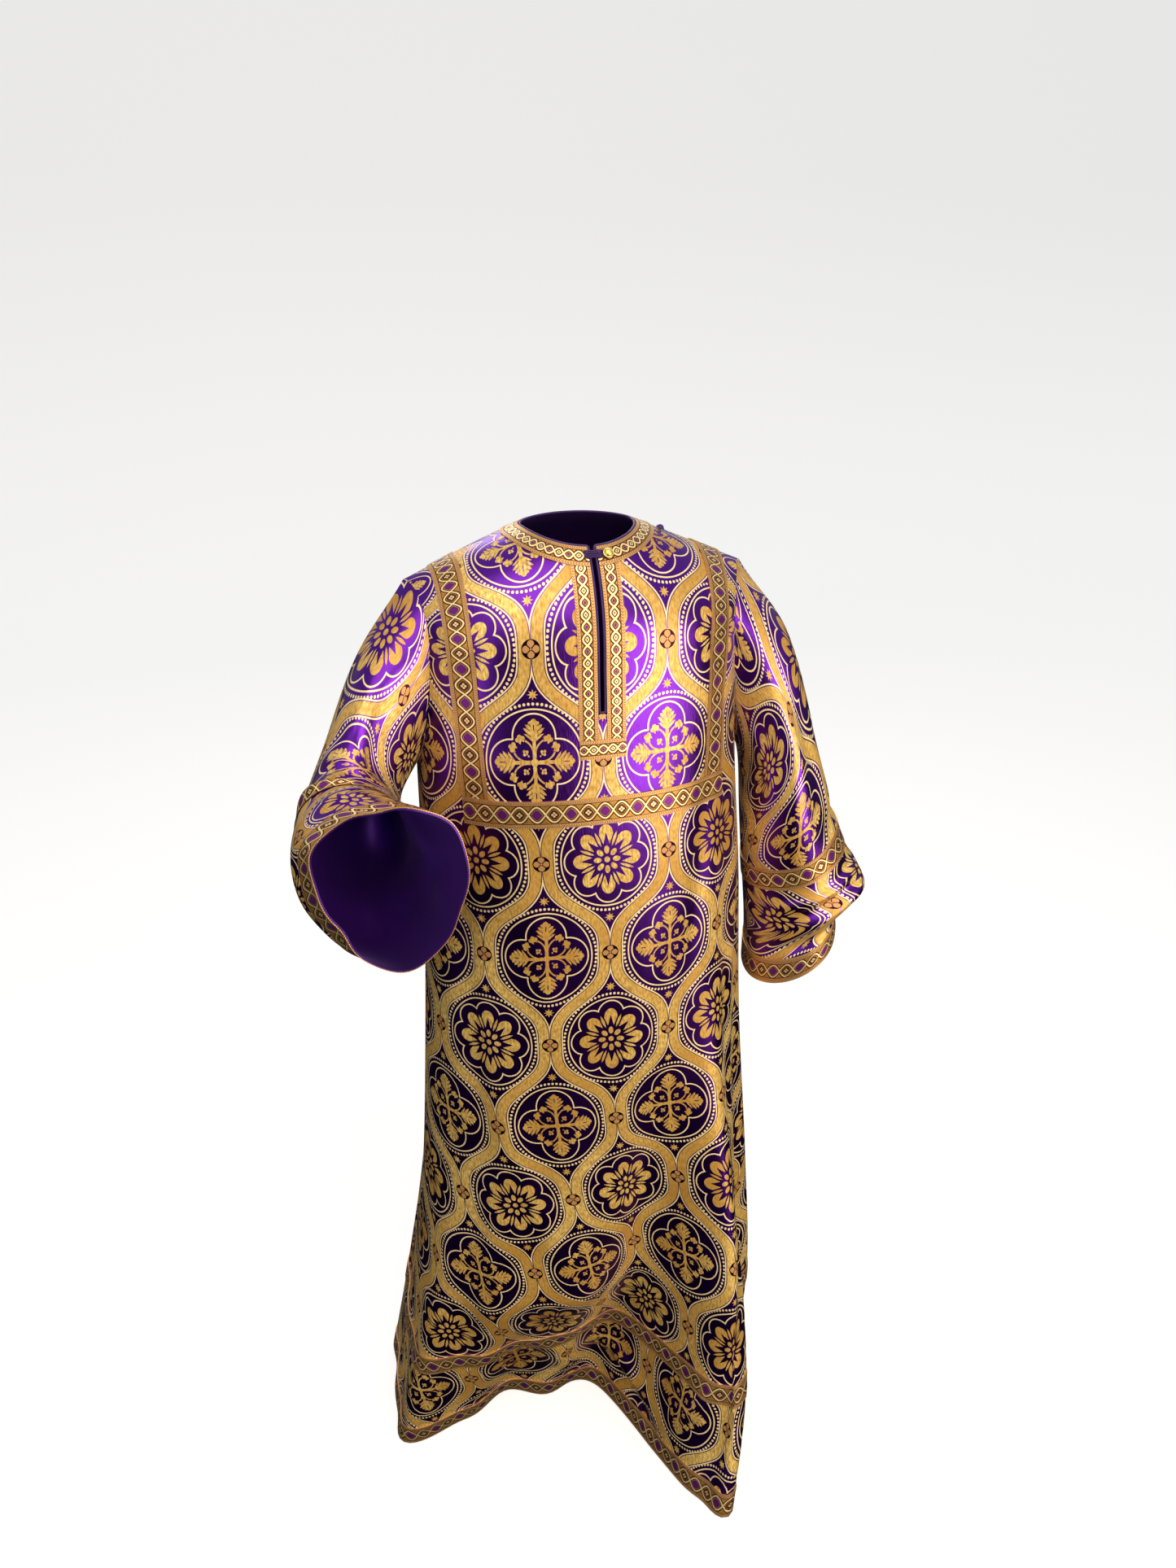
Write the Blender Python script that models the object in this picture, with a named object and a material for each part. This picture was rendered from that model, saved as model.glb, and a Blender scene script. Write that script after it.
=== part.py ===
"""Deacon's dalmatic in its worn, hollow pose: violet and gold brocade with sewn-on galloon bands.

Metres, +Z up. The origin is the middle of the shoulder line, and the front faces -Y.
Each panel is laid out flat, as it is cut, in distances across and down from the middle of the
shoulder line, and then carried onto the draped form. Bands are cut out of the same flat layout,
so each one lies on its panel's own facets with an even gap.
"""

import math
from collections import namedtuple

import bpy
import numpy as np
from mathutils import Vector
from mathutils.geometry import delaunay_2d_cdt

# Cloth and seams
CLOTH = 0.0018
GALLOON = 0.0010
SEAM_GAP = 0.0003
BAND_JOIN = 0.0006
SEAM_PLANE = 0.0004

# Shoulders and neck
SHOULDER_HALF = 0.205
SHOULDER_REACH = 0.255
NECK_HALF = 0.067
NECK_POINT_HEIGHT = 0.005
SHOULDER_SLOPE = 0.43
NECK_ROUND = 0.040
NECK_DEPTH = {"front": 0.075, "back": 0.050}
ROUND_OVER = 0.185
ROUND_HEIGHT = -0.120

# Opening at the front
SLIT_HALF = 0.0050
SLIT_END = 0.240

# Armholes and length
UNDERARM = 0.320
LENGTH = 1.385
ARMHOLE_STEPS = 12

# Galloon
NARROW = 0.021
WIDE = 0.032
CHEST_BAND = 0.335
YOKE_OUT_TOP = 0.176
YOKE_OUT_CHEST = 0.160
SKIRT_BAND = LENGTH - 0.182
SLIT_FOOT = 0.268

# Binding, buttons and loop
PIPING_RADIUS = 0.0011
NECK_BUTTON_RADIUS = 0.006
SHOULDER_BUTTON_RADIUS = 0.005
LOOP_RADIUS = 0.0007

# Mesh steps
ACROSS_STEP = 0.026
DOWN_STEP = 0.052
FLAT_SQUASH = 0.55
SAMPLES = 161

Section = namedtuple("Section", "height half_width front_depth back_depth shift")
SECTIONS = (
    Section(-0.12, 0.186, 0.114, 0.100, 0.000),
    Section(-0.26, 0.191, 0.127, 0.110, 0.000),
    Section(-0.42, 0.199, 0.133, 0.114, 0.006),
    Section(-0.66, 0.213, 0.140, 0.124, 0.008),
    Section(-0.93, 0.237, 0.147, 0.140, 0.010),
    Section(-1.14, 0.261, 0.150, 0.152, 0.002),
    Section(-1.33, 0.274, 0.152, 0.162, -0.018),
)
ROUNDNESS = 2.3

# A fold runs down from its start; positions are shares of the way from the middle to the side seam
Fold = namedtuple("Fold", "start top_place hem_place half_width depth growth")
FOLDS = {
    "front": (
        Fold(-0.50, 0.46, 0.27, 0.098, 0.172, 1.8),
        Fold(-0.62, 0.16, 0.03, 0.100, -0.060, 1.2),
        Fold(-1.02, -0.14, -0.27, 0.340, -0.118, 1.1),
        Fold(-0.80, -0.62, -0.76, 0.120, 0.035, 1.2),
        Fold(-0.55, -0.36, -0.45, 0.090, 0.014, 0.8),
        Fold(-0.45, 0.72, 0.70, 0.090, -0.022, 0.8),
    ),
    "back": (
        Fold(-0.35, -0.62, -0.66, 0.110, 0.034, 1.1),
        Fold(-0.30, -0.40, -0.42, 0.110, -0.030, 1.1),
        Fold(-0.40, -0.12, -0.16, 0.120, 0.040, 1.2),
        Fold(-0.45, 0.12, 0.10, 0.110, -0.036, 1.1),
        Fold(-0.34, 0.36, 0.38, 0.120, 0.036, 1.1),
        Fold(-0.42, 0.62, 0.66, 0.110, -0.026, 1.0),
    ),
}

# Sleeve rings below the armhole: the line over the shoulder, the line under the arm, the
# reach to the front and to the back of the arm, and how far that front has turned up, in degrees
Ring = namedtuple("Ring", "outer inner front back turn")
SLEEVES = {
    "left": (
        Ring((0.205, 0.000, -0.050), (0.192, 0.000, -0.258), 0.080, 0.078, 0),
        Ring((0.250, -0.012, -0.130), (0.215, -0.008, -0.302), 0.080, 0.080, 0),
        Ring((0.288, -0.020, -0.255), (0.222, -0.018, -0.362), 0.076, 0.080, 0),
        Ring((0.325, -0.033, -0.372), (0.227, -0.028, -0.432), 0.070, 0.080, 0),
        Ring((0.351, -0.042, -0.448), (0.229, -0.030, -0.512), 0.072, 0.080, 0),
        Ring((0.328, -0.050, -0.520), (0.228, -0.030, -0.600), 0.068, 0.078, 0),
    ),
    "right": (
        Ring((-0.205, 0.000, -0.050), (-0.192, 0.000, -0.258), 0.080, 0.078, 0),
        Ring((-0.252, -0.008, -0.122), (-0.214, -0.018, -0.292), 0.082, 0.080, 14),
        Ring((-0.292, -0.030, -0.215), (-0.214, -0.052, -0.308), 0.084, 0.085, 38),
        Ring((-0.328, -0.072, -0.288), (-0.208, -0.092, -0.315), 0.086, 0.098, 64),
        Ring((-0.341, -0.128, -0.316), (-0.184, -0.138, -0.318), 0.088, 0.106, 84),
        Ring((-0.326, -0.190, -0.312), (-0.160, -0.184, -0.316), 0.086, 0.098, 94),
    ),
}
SLEEVE_STATIONS = (0, 0.22, 0.55, 0.95, 1.35, 1.8, 2.25, 2.6, 2.93, 3.30, 3.65, 4.0, 4.3, 4.57, 5.0)
MID_BAND = (2.93, 3.30)
EDGE_BAND = (4.57, 5.0)

# Sleeve folds: place along the sleeve, place round it in degrees, both half sizes and the height
Crease = namedtuple("Crease", "along turn half_along half_turn depth")
CREASES = {
    "left": (
        Crease(1.5, 60, 0.9, 22, -0.008),
        Crease(3.9, 30, 0.30, 45, 0.010),
        Crease(4.55, 20, 0.26, 50, -0.014),
        Crease(2.3, 110, 0.8, 24, 0.008),
    ),
    "right": (
        Crease(1.6, 100, 0.7, 26, -0.012),
        Crease(2.6, 240, 0.5, 40, 0.012),
        Crease(3.4, 160, 0.6, 26, -0.008),
        Crease(3.2, 300, 0.5, 34, -0.010),
    ),
}


def smooth(at, knots, values):
    """Values of a cubic curve through the knots, with Catmull-Rom slopes."""
    knots = np.asarray(knots, float)
    values = np.asarray(values, float)
    slopes = np.gradient(values, knots, axis=0)
    at = np.clip(np.asarray(at, float), knots[0], knots[-1])
    low = np.clip(np.searchsorted(knots, at, side="right") - 1, 0, len(knots) - 2)
    span = knots[low + 1] - knots[low]
    u = (at - knots[low]) / span
    if values.ndim > 1:
        u = np.expand_dims(u, -1)
        span = np.expand_dims(span, -1)
    start = (2 * u**3 - 3 * u**2 + 1) * values[low]
    end = (3 * u**2 - 2 * u**3) * values[low + 1]
    lean_in = (u**3 - 2 * u**2 + u) * span * slopes[low]
    lean_out = (u**3 - u**2) * span * slopes[low + 1]
    return start + end + lean_in + lean_out


def level(side, height):
    """The cloth across one panel at a height: a rounded section pushed out and in by its folds."""
    place = np.linspace(-1, 1, SAMPLES)
    depths = np.array([(s.half_width, s.front_depth, s.back_depth, s.shift) for s in SECTIONS])
    rows = -np.array([s.height for s in SECTIONS])
    width, front, back, shift = smooth(-height, rows, depths)
    depth = -front if side == "front" else back
    angle = place * math.pi / 2
    power = 2 / ROUNDNESS
    x = width * np.sign(place) * np.abs(np.sin(angle)) ** power + shift
    y = depth * np.abs(np.cos(angle)) ** power
    step_x = np.gradient(x)
    step_y = np.gradient(y)
    size = np.hypot(step_x, step_y)
    facing = 1 if side == "front" else -1
    out_x = facing * step_y / size
    out_y = -facing * step_x / size
    push = np.zeros(SAMPLES)
    hem = SECTIONS[-1].height
    for fold in FOLDS[side]:
        run = min(max((fold.start - height) / (fold.start - hem), 0), 1)
        middle = fold.top_place + (fold.hem_place - fold.top_place) * run
        rise = run**fold.growth * (3 - run) / 2
        push += fold.depth * rise * np.exp(-(((place - middle) / fold.half_width) ** 2))
    push *= 1 - place**6
    return np.stack([x + out_x * push, y + out_y * push, np.full(SAMPLES, height)], axis=1)


def shoulder_line():
    """The line over the shoulders, carried on across the neck and past the tips."""
    x = np.linspace(-SHOULDER_REACH, SHOULDER_REACH, SAMPLES)
    bend = np.hypot(x, NECK_ROUND) - math.hypot(NECK_HALF, NECK_ROUND)
    return np.stack([x, np.zeros(SAMPLES), NECK_POINT_HEIGHT - SHOULDER_SLOPE * bend], axis=1)


def cloth_row(side, down):
    """Points across the panel, and their distances across from its middle, at a distance down."""
    if down < ROUND_OVER:
        angle = down / ROUND_OVER * math.pi / 2
        top = shoulder_line()
        low = level(side, ROUND_HEIGHT)
        points = top + (low - top) * math.sin(angle)
        points[:, 2] = top[:, 2] + (low[:, 2] - top[:, 2]) * (1 - math.cos(angle))
    else:
        points = level(side, ROUND_HEIGHT - (down - ROUND_OVER))
    steps = np.linalg.norm(np.diff(points, axis=0), axis=1)
    distance = np.concatenate([[0], np.cumsum(steps)])
    return points, distance - distance[-1] / 2


def half_cut(side, down):
    """Half of the panel's flat width at a distance down."""
    return cloth_row(side, down)[1][-1]


def on_form(side, across, down):
    """World points of flat positions."""
    across = np.asarray(across, float)
    down = np.round(np.asarray(down, float), 6)
    points = np.zeros((len(across), 3))
    for value in np.unique(down):
        chosen = down == value
        row, distance = cloth_row(side, value)
        for axis in range(3):
            points[chosen, axis] = np.interp(across[chosen], distance, row[:, axis])
    return points


def draped(side, across, down):
    """World points and outward normals of flat positions, level with the seams along y = 0."""
    step = 0.003
    across = np.asarray(across, float)
    down = np.asarray(down, float)
    right = on_form(side, across + step, down) - on_form(side, across - step, down)
    fall = on_form(side, across, down + step) - on_form(side, across, down - step)
    normals = np.cross(fall, right) if side == "front" else np.cross(right, fall)
    points = on_form(side, across, down)
    normals[np.abs(points[:, 1]) < SEAM_PLANE, 1] = 0
    normals /= np.linalg.norm(normals, axis=1)[:, None]
    return points, normals


def finish(mesh, name, material):
    """The named object of a mesh, smooth but for its edges."""
    mesh.shade_smooth()
    mesh.set_sharp_from_angle(angle=math.radians(40))
    obj = bpy.data.objects.new(name, mesh)
    bpy.context.collection.objects.link(obj)
    obj.data.materials.append(material)
    return obj


def plate(name, points, normals, faces, low, high, material):
    """A closed wall over the faces, from `low` to `high` along the normals."""
    used = sorted({corner for face in faces for corner in face})
    number = {corner: i for i, corner in enumerate(used)}
    points = points[used]
    normals = normals[used]
    count = len(used)
    turned = [[number[corner] for corner in face] for face in faces]
    facing = 0
    for face in turned:
        a, b, c = points[face[0]], points[face[1]], points[face[2]]
        facing += np.dot(np.cross(b - a, c - a), normals[face].sum(axis=0))
    if facing < 0:
        turned = [face[::-1] for face in turned]
    edges = {(face[i], face[(i + 1) % len(face)]) for face in turned for i in range(len(face))}
    rim = [(a, b) for a, b in edges if (b, a) not in edges]
    solid = [tuple(face) for face in turned]
    solid += [tuple(corner + count for corner in reversed(face)) for face in turned]
    solid += [(b, a, a + count, b + count) for a, b in sorted(rim)]
    corners = np.vstack([points + normals * high, points + normals * low])
    mesh = bpy.data.meshes.new(name)
    mesh.from_pydata([tuple(map(float, corner)) for corner in corners], [], solid)
    mesh.validate()
    return finish(mesh, name, material)


def line(start, end, step):
    """Evenly spaced flat points from start to end, both included."""
    count = max(1, round(math.dist(start, end) / step))
    return [
        tuple(a + (b - a) * i / count for a, b in zip(start, end)) for i in range(count + 1)
    ]


def neck_arc(side, grow, start, end, count):
    """Flat points of the neckline, or of a line `grow` outside it, between two angles."""
    angles = np.linspace(start, end, count + 1)
    reach = NECK_HALF + grow
    depth = NECK_DEPTH[side] + grow
    return [(reach * math.cos(a), SEAM_GAP / 2 + depth * math.sin(a)) for a in angles]


def slit_angle(grow, offset):
    """Angle at which a line `grow` outside the front neckline is `offset` from the middle."""
    return math.acos(offset / (NECK_HALF + grow))


def mirrored(points):
    """The same flat points on the other side of the middle, in the opposite order."""
    return [(-across, down) for across, down in reversed(points)]


def armhole(side):
    """Flat points of the armhole edge from the shoulder tip to the underarm."""
    seam = half_cut(side, UNDERARM) - SEAM_GAP / 2
    knots = ((SHOULDER_HALF, SEAM_GAP / 2), (0.180, 0.105), (0.186, UNDERARM), (seam, UNDERARM))
    points = []
    for i in range(ARMHOLE_STEPS + 1):
        q = i / ARMHOLE_STEPS
        weights = ((1 - q) ** 3, 3 * q * (1 - q) ** 2, 3 * q * q * (1 - q), q**3)
        points.append(tuple(sum(w * knot[k] for w, knot in zip(weights, knots)) for k in (0, 1)))
    return points


def rows_down():
    """Distances down of the mesh rows below the underarm, with every band edge among them."""
    stops = [UNDERARM, CHEST_BAND, CHEST_BAND + WIDE, SKIRT_BAND, SKIRT_BAND + WIDE]
    stops += [LENGTH - WIDE, LENGTH]
    rows = [UNDERARM]
    for start, end in zip(stops, stops[1:]):
        count = max(1, round((end - start) / DOWN_STEP))
        rows += [start + (end - start) * (i + 1) / count for i in range(count)]
    return rows


def half_outline(side):
    """Flat outline of the panel's right half, from its neckline's middle round to its hem."""
    if side == "front":
        points = [(0.0, SLIT_END)]
        last = slit_angle(0, SLIT_HALF)
        neck_foot = neck_arc(side, 0, last, 0, 9)
        points += list(reversed(line((SLIT_HALF, neck_foot[0][1]), (SLIT_HALF, SLIT_END), 0.022)))
        points += neck_foot[1:]
    else:
        points = neck_arc(side, 0, math.pi / 2, 0, 9)
    points += line((NECK_HALF, SEAM_GAP / 2), (SHOULDER_HALF, SEAM_GAP / 2), ACROSS_STEP)[1:]
    points += armhole(side)[1:]
    points += [(half_cut(side, down) - SEAM_GAP / 2, down) for down in rows_down()[1:]]
    return points


def band_outlines(side):
    """Flat outlines of the galloon pieces on the right half and on the middle."""
    neck_end = slit_angle(0, SLIT_HALF) if side == "front" else math.pi / 2
    outer_end = slit_angle(NARROW, SLIT_HALF) if side == "front" else math.pi / 2
    halves = {}
    middle = {}
    inner = neck_arc(side, 0, 0, neck_end, 9)
    outer = neck_arc(side, NARROW, 0, outer_end, 9)
    if side == "front":
        halves["neck_band_front"] = inner + list(reversed(outer))
        top = neck_arc(
            side,
            NARROW + BAND_JOIN,
            slit_angle(NARROW + BAND_JOIN, SLIT_HALF),
            slit_angle(NARROW + BAND_JOIN, SLIT_HALF + NARROW),
            2,
        )
        right = line(top[-1], (SLIT_HALF + NARROW, SLIT_FOOT), 0.022)
        left = line((SLIT_HALF, SLIT_FOOT), top[0], 0.022)
        halves["slit_band"] = top + right[1:] + left[:-1]
        reach = SLIT_HALF + NARROW
        foot_top = SLIT_FOOT + BAND_JOIN
        foot_end = foot_top + NARROW
        middle["slit_band_foot"] = [
            (-reach, foot_top), (reach, foot_top), (reach, foot_end), (-reach, foot_end)
        ]
    else:
        middle["neck_band_back"] = (
            inner + mirrored(inner)[1:] + [(-x, y) for x, y in outer] + mirrored(
                [(-x, y) for x, y in outer]
            )[1:]
        )
    chest_end = CHEST_BAND - BAND_JOIN
    outside = line((YOKE_OUT_TOP, SEAM_GAP / 2), (YOKE_OUT_CHEST, chest_end), 0.030)
    inside = [(across - WIDE, down) for across, down in reversed(outside)]
    halves[f"yoke_band_{side}"] = outside + inside
    edge = line((-YOKE_OUT_CHEST, CHEST_BAND), (YOKE_OUT_CHEST, CHEST_BAND), ACROSS_STEP)
    middle[f"chest_band_{side}"] = edge + [(x, CHEST_BAND + WIDE) for x, y in reversed(edge)]
    return halves, middle


def inside(point, outline):
    """Whether a flat point lies inside a flat outline."""
    x, y = point
    crossed = False
    for (ax, ay), (bx, by) in zip(outline, outline[1:] + outline[:1]):
        if (ay > y) != (by > y) and x < (bx - ax) * (y - ay) / (by - ay) + ax:
            crossed = not crossed
    return crossed


def lay_out(side):
    """The panel's flat mesh and the faces of each band on it."""
    right = half_outline(side)
    skip = 1 if right[0][0] == 0 else 0
    edge = half_cut(side, LENGTH) - SEAM_GAP / 2
    hem = line((edge, LENGTH), (-edge, LENGTH), ACROSS_STEP)[1:-1]
    outline = right + hem + mirrored(right)[: len(right) - skip]
    halves, middle = band_outlines(side)
    bands = dict(middle)
    for name, shape in halves.items():
        bands[f"{name}_left"] = shape
        bands[f"{name}_right"] = mirrored(shape)
    points = [Vector((x, y * FLAT_SQUASH)) for x, y in outline]
    edges = []
    for shape in bands.values():
        first = len(points)
        points += [Vector((x, y * FLAT_SQUASH)) for x, y in shape]
        edges += [(first + i, first + (i + 1) % len(shape)) for i in range(len(shape))]
    for down in rows_down()[1:-1]:
        half = half_cut(side, down) - SEAM_GAP / 2
        row = line((-half, down), (half, down), ACROSS_STEP)
        first = len(points)
        points += [Vector((x, y * FLAT_SQUASH)) for x, y in row]
        if down in (SKIRT_BAND, SKIRT_BAND + WIDE, LENGTH - WIDE):
            edges += [(first + i, first + i + 1) for i in range(len(row) - 1)]
    fixed = np.array([tuple(p) for p in points])
    for down in np.arange(0.028, UNDERARM, 0.036):
        for across in np.arange(-9, 10) * ACROSS_STEP:
            spot = np.array([across, down * FLAT_SQUASH])
            if inside((across, down), outline) and np.hypot(*(fixed - spot).T).min() > 0.010:
                points.append(Vector(spot))
    face = list(range(len(outline)))
    corners, _, triangles, *_ = delaunay_2d_cdt(points, edges, [face], 1, 1e-6)
    flat = np.array([(corner.x, corner.y / FLAT_SQUASH) for corner in corners])
    faces = [tuple(triangle) for triangle in triangles]
    picked = {name: [] for name in bands}
    picked[f"skirt_band_{side}"] = []
    picked[f"hem_band_{side}"] = []
    for triangle in faces:
        centre = flat[list(triangle)].mean(axis=0)
        for name, shape in bands.items():
            if inside(tuple(centre), shape):
                picked[name].append(triangle)
        if SKIRT_BAND < centre[1] < SKIRT_BAND + WIDE:
            picked[f"skirt_band_{side}"].append(triangle)
        if centre[1] > LENGTH - WIDE:
            picked[f"hem_band_{side}"].append(triangle)
    return flat, faces, picked


def make_panel(side, cloth, galloon):
    """One body panel with its bands."""
    flat, faces, bands = lay_out(side)
    points, normals = draped(side, flat[:, 0], flat[:, 1])
    plate(f"{side}_panel", points, normals, faces, -CLOTH, 0, cloth)
    low = SEAM_GAP
    for name, chosen in bands.items():
        plate(name, points, normals, chosen, low, low + GALLOON, galloon)


def armhole_loop(hand):
    """Points just outside the armhole, from the shoulder tip round the front, with the panels'
    normals there and the way out of the panels."""
    sign = 1 if hand == "left" else -1
    gap = SEAM_GAP * 1.4
    loops = []
    for side in ("front", "back"):
        edge = np.array(armhole(side))
        run = np.gradient(edge, axis=0)
        run /= np.linalg.norm(run, axis=1)[:, None]
        clear = edge + np.stack([run[:, 1], -run[:, 0]], axis=1) * gap
        points, normals = draped(side, sign * clear[:, 0], clear[:, 1])
        out = points - on_form(side, sign * edge[:, 0], edge[:, 1])
        out /= np.linalg.norm(out, axis=1)[:, None]
        loops.append((points, normals, out))
    return [np.vstack([front, back[-2:0:-1]]) for front, back in zip(*loops)]


def sleeve_grid(hand):
    """Points and normals of a sleeve's rings, from the armhole to the mouth."""
    rows = SLEEVES[hand]
    loop, panel_normals, out = armhole_loop(hand)
    count = len(loop)
    turn = np.arange(count) / count * 2 * math.pi
    knots = np.arange(len(rows))
    table = np.array([(*r.outer, *r.inner, r.front, r.back, r.turn) for r in rows])
    grid = []
    for station in SLEEVE_STATIONS:
        values = smooth(station, knots, table)
        outer, inner = values[0:3], values[3:6]
        lift = math.radians(values[8])
        front = np.array([0, -math.cos(lift), math.sin(lift)])
        middle = (outer + inner) / 2
        spread = (outer - inner) / 2
        reach = np.where(np.sin(turn) > 0, values[6], values[7])
        ring = middle + np.outer(np.cos(turn), spread) + np.outer(np.sin(turn) * reach, front)
        grid.append(ring)
    grid = np.array(grid)
    base = loop - grid[0]
    for i, station in enumerate(SLEEVE_STATIONS):
        fade = max(0.0, 1 - station / 1.8)
        grid[i] += base * fade**2 * (3 - 2 * fade)
    around = np.roll(grid, -1, axis=1) - np.roll(grid, 1, axis=1)
    along = np.gradient(grid, axis=0)
    normals = np.cross(along, around)
    normals /= np.linalg.norm(normals, axis=2)[:, :, None]
    centre = grid.mean(axis=1)[:, None, :]
    if np.sum((grid - centre) * normals) < 0:
        normals = -normals
    rim = normals[0] + panel_normals
    rim -= out * np.maximum(0, np.sum(rim * out, axis=1))[:, None]
    normals[0] = rim / np.linalg.norm(rim, axis=1)[:, None]
    degrees = np.degrees(turn)
    for i, station in enumerate(SLEEVE_STATIONS):
        for crease in CREASES[hand]:
            apart = (degrees - crease.turn + 180) % 360 - 180
            shape = np.exp(-((apart / crease.half_turn) ** 2))
            shape *= math.exp(-(((station - crease.along) / crease.half_along) ** 2))
            shape *= min(station, 1)
            grid[i] += normals[i] * (crease.depth * shape)[:, None]
    return grid, normals


def make_sleeve(hand, cloth, galloon):
    """One sleeve with the galloon round its forearm and its mouth."""
    grid, normals = sleeve_grid(hand)
    count = grid.shape[1]
    points = grid.reshape(-1, 3)
    normals = normals.reshape(-1, 3)

    def strips(first, last):
        faces = []
        for i in range(first, last):
            for j in range(count):
                after = (j + 1) % count
                faces.append((i * count + j, i * count + after, (i + 1) * count + after))
                faces.append((i * count + j, (i + 1) * count + after, (i + 1) * count + j))
        return faces

    stations = SLEEVE_STATIONS
    plate(f"sleeve_{hand}", points, normals, strips(0, len(stations) - 1), -CLOTH, 0, cloth)
    low = SEAM_GAP
    for kind, (start, end) in (("band", MID_BAND), ("edge", EDGE_BAND)):
        faces = strips(stations.index(start), stations.index(end))
        plate(f"sleeve_{kind}_{hand}", points, normals, faces, low, low + GALLOON, galloon)


def tube(name, path, radius, sides, closed, material):
    """A cord of even radius along a path."""
    path = np.asarray(path, float)
    if closed:
        run = np.roll(path, -1, axis=0) - np.roll(path, 1, axis=0)
    else:
        run = np.gradient(path, axis=0)
    run /= np.linalg.norm(run, axis=1)[:, None]
    side = np.cross(run[0], (0.0, 0.0, 1.0))
    sides_out = []
    for direction in run:
        side = side - direction * np.dot(side, direction)
        side = side / np.linalg.norm(side)
        sides_out.append(side)
    corners = []
    for centre, direction, first in zip(path, run, sides_out):
        second = np.cross(direction, first)
        for k in range(sides):
            angle = 2 * math.pi * k / sides
            spot = centre + radius * (math.cos(angle) * first + math.sin(angle) * second)
            corners.append(tuple(map(float, spot)))
    count = len(path)
    last = count if closed else count - 1
    shift = 0
    if closed:
        turn = np.cross(run[0], sides_out[0])
        end = sides_out[-1] - run[0] * np.dot(sides_out[-1], run[0])
        angle = math.atan2(np.dot(end, turn), np.dot(end, sides_out[0]))
        shift = round(angle / (2 * math.pi) * sides)
    faces = []
    for i in range(last):
        onward = (i + 1) % count
        slip = shift if i == count - 1 else 0
        for k in range(sides):
            after = (k + 1) % sides
            faces.append((
                i * sides + k,
                i * sides + after,
                onward * sides + (after + slip) % sides,
                onward * sides + (k + slip) % sides,
            ))
    if not closed:
        faces.append(tuple(reversed(range(sides))))
        faces.append(tuple((count - 1) * sides + k for k in range(sides)))
    mesh = bpy.data.meshes.new(name)
    mesh.from_pydata(corners, [], faces)
    mesh.validate()
    return finish(mesh, name, material)


def make_piping(material):
    """Binding round the neckline and the slit, just clear of the cut edges."""
    clear = -(PIPING_RADIUS + SEAM_GAP)
    inner = SLIT_HALF + clear
    top = neck_arc("front", clear, slit_angle(clear, inner + 0.0015), 0, 11)
    side = line((inner, SLIT_END + clear - 0.001), (inner, top[0][1] + 0.0015), 0.026)
    half = [(0.0, SLIT_END + clear), (inner * 0.7, SLIT_END + clear)] + side + top[:-1]
    back = neck_arc("back", clear, 0, math.pi, 18)
    front_right = np.array(half)
    front_left = np.array(mirrored(half))[:-1]
    raised = (GALLOON + SEAM_GAP - CLOTH) / 2
    path = []
    for panel, flat in (("front", front_right), ("back", np.array(back)), ("front", front_left)):
        points, normals = draped(panel, flat[:, 0], flat[:, 1])
        path += list(points + normals * raised)
    tube("neck_piping", path, PIPING_RADIUS, 6, True, material)


def make_button(name, across, down, base, stem, radius, height, material):
    """A domed button on a short shank, standing on the front."""
    profile = [(0.35 * radius, 0), (0.35 * radius, stem)]
    profile += [(radius * 0.92, stem), (radius, stem + 0.12 * height)]
    for i in range(1, 5):
        angle = i / 5 * math.pi / 2
        rise = stem + height * (0.12 + 0.88 * math.sin(angle))
        profile.append((radius * math.cos(angle), rise))
    sides = 12
    corners = [(0, 0, 0)]
    for reach, rise in profile:
        for k in range(sides):
            angle = 2 * math.pi * k / sides
            corners.append((reach * math.cos(angle), reach * math.sin(angle), rise))
    corners.append((0, 0, stem + height))
    faces = [(0, 1 + (k + 1) % sides, 1 + k) for k in range(sides)]
    for i in range(len(profile) - 1):
        low, high = 1 + i * sides, 1 + (i + 1) * sides
        for k in range(sides):
            after = (k + 1) % sides
            faces.append((low + k, low + after, high + after, high + k))
    last = 1 + (len(profile) - 1) * sides
    faces += [(last + k, last + (k + 1) % sides, len(corners) - 1) for k in range(sides)]
    mesh = bpy.data.meshes.new(name)
    mesh.from_pydata(corners, [], faces)
    obj = finish(mesh, name, material)
    point, normal = draped("front", [across], [down])
    obj.location = Vector(point[0] + normal[0] * base)
    obj.rotation_mode = "QUATERNION"
    obj.rotation_quaternion = Vector(normal[0]).to_track_quat("Z", "Y")
    return obj


def make_loop(across, down, reach, base, material):
    """A cord loop sewn on beyond the slit and led round the button's shank."""
    turn = 0.0036
    bend = [
        (across + turn * math.sin(a), down - turn * math.cos(a))
        for a in np.linspace(0, math.pi, 9)
    ]
    start = line((across - reach, down - turn * 0.6), (across - 0.003, down - turn), 0.006)
    end = [(x, 2 * down - y) for x, y in reversed(start)]
    flat = np.array(start + bend + end)
    points, normals = draped("front", flat[:, 0], flat[:, 1])
    tube("button_loop", points + normals * base, LOOP_RADIUS, 6, False, material)


def make_material(name, colour, roughness, metallic):
    """A plain finish of one colour."""
    material = bpy.data.materials.new(name)
    material.use_nodes = True
    shader = material.node_tree.nodes["Principled BSDF"]
    shader.inputs["Base Color"].default_value = (*colour, 1)
    shader.inputs["Roughness"].default_value = roughness
    shader.inputs["Metallic"].default_value = metallic
    return material


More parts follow.
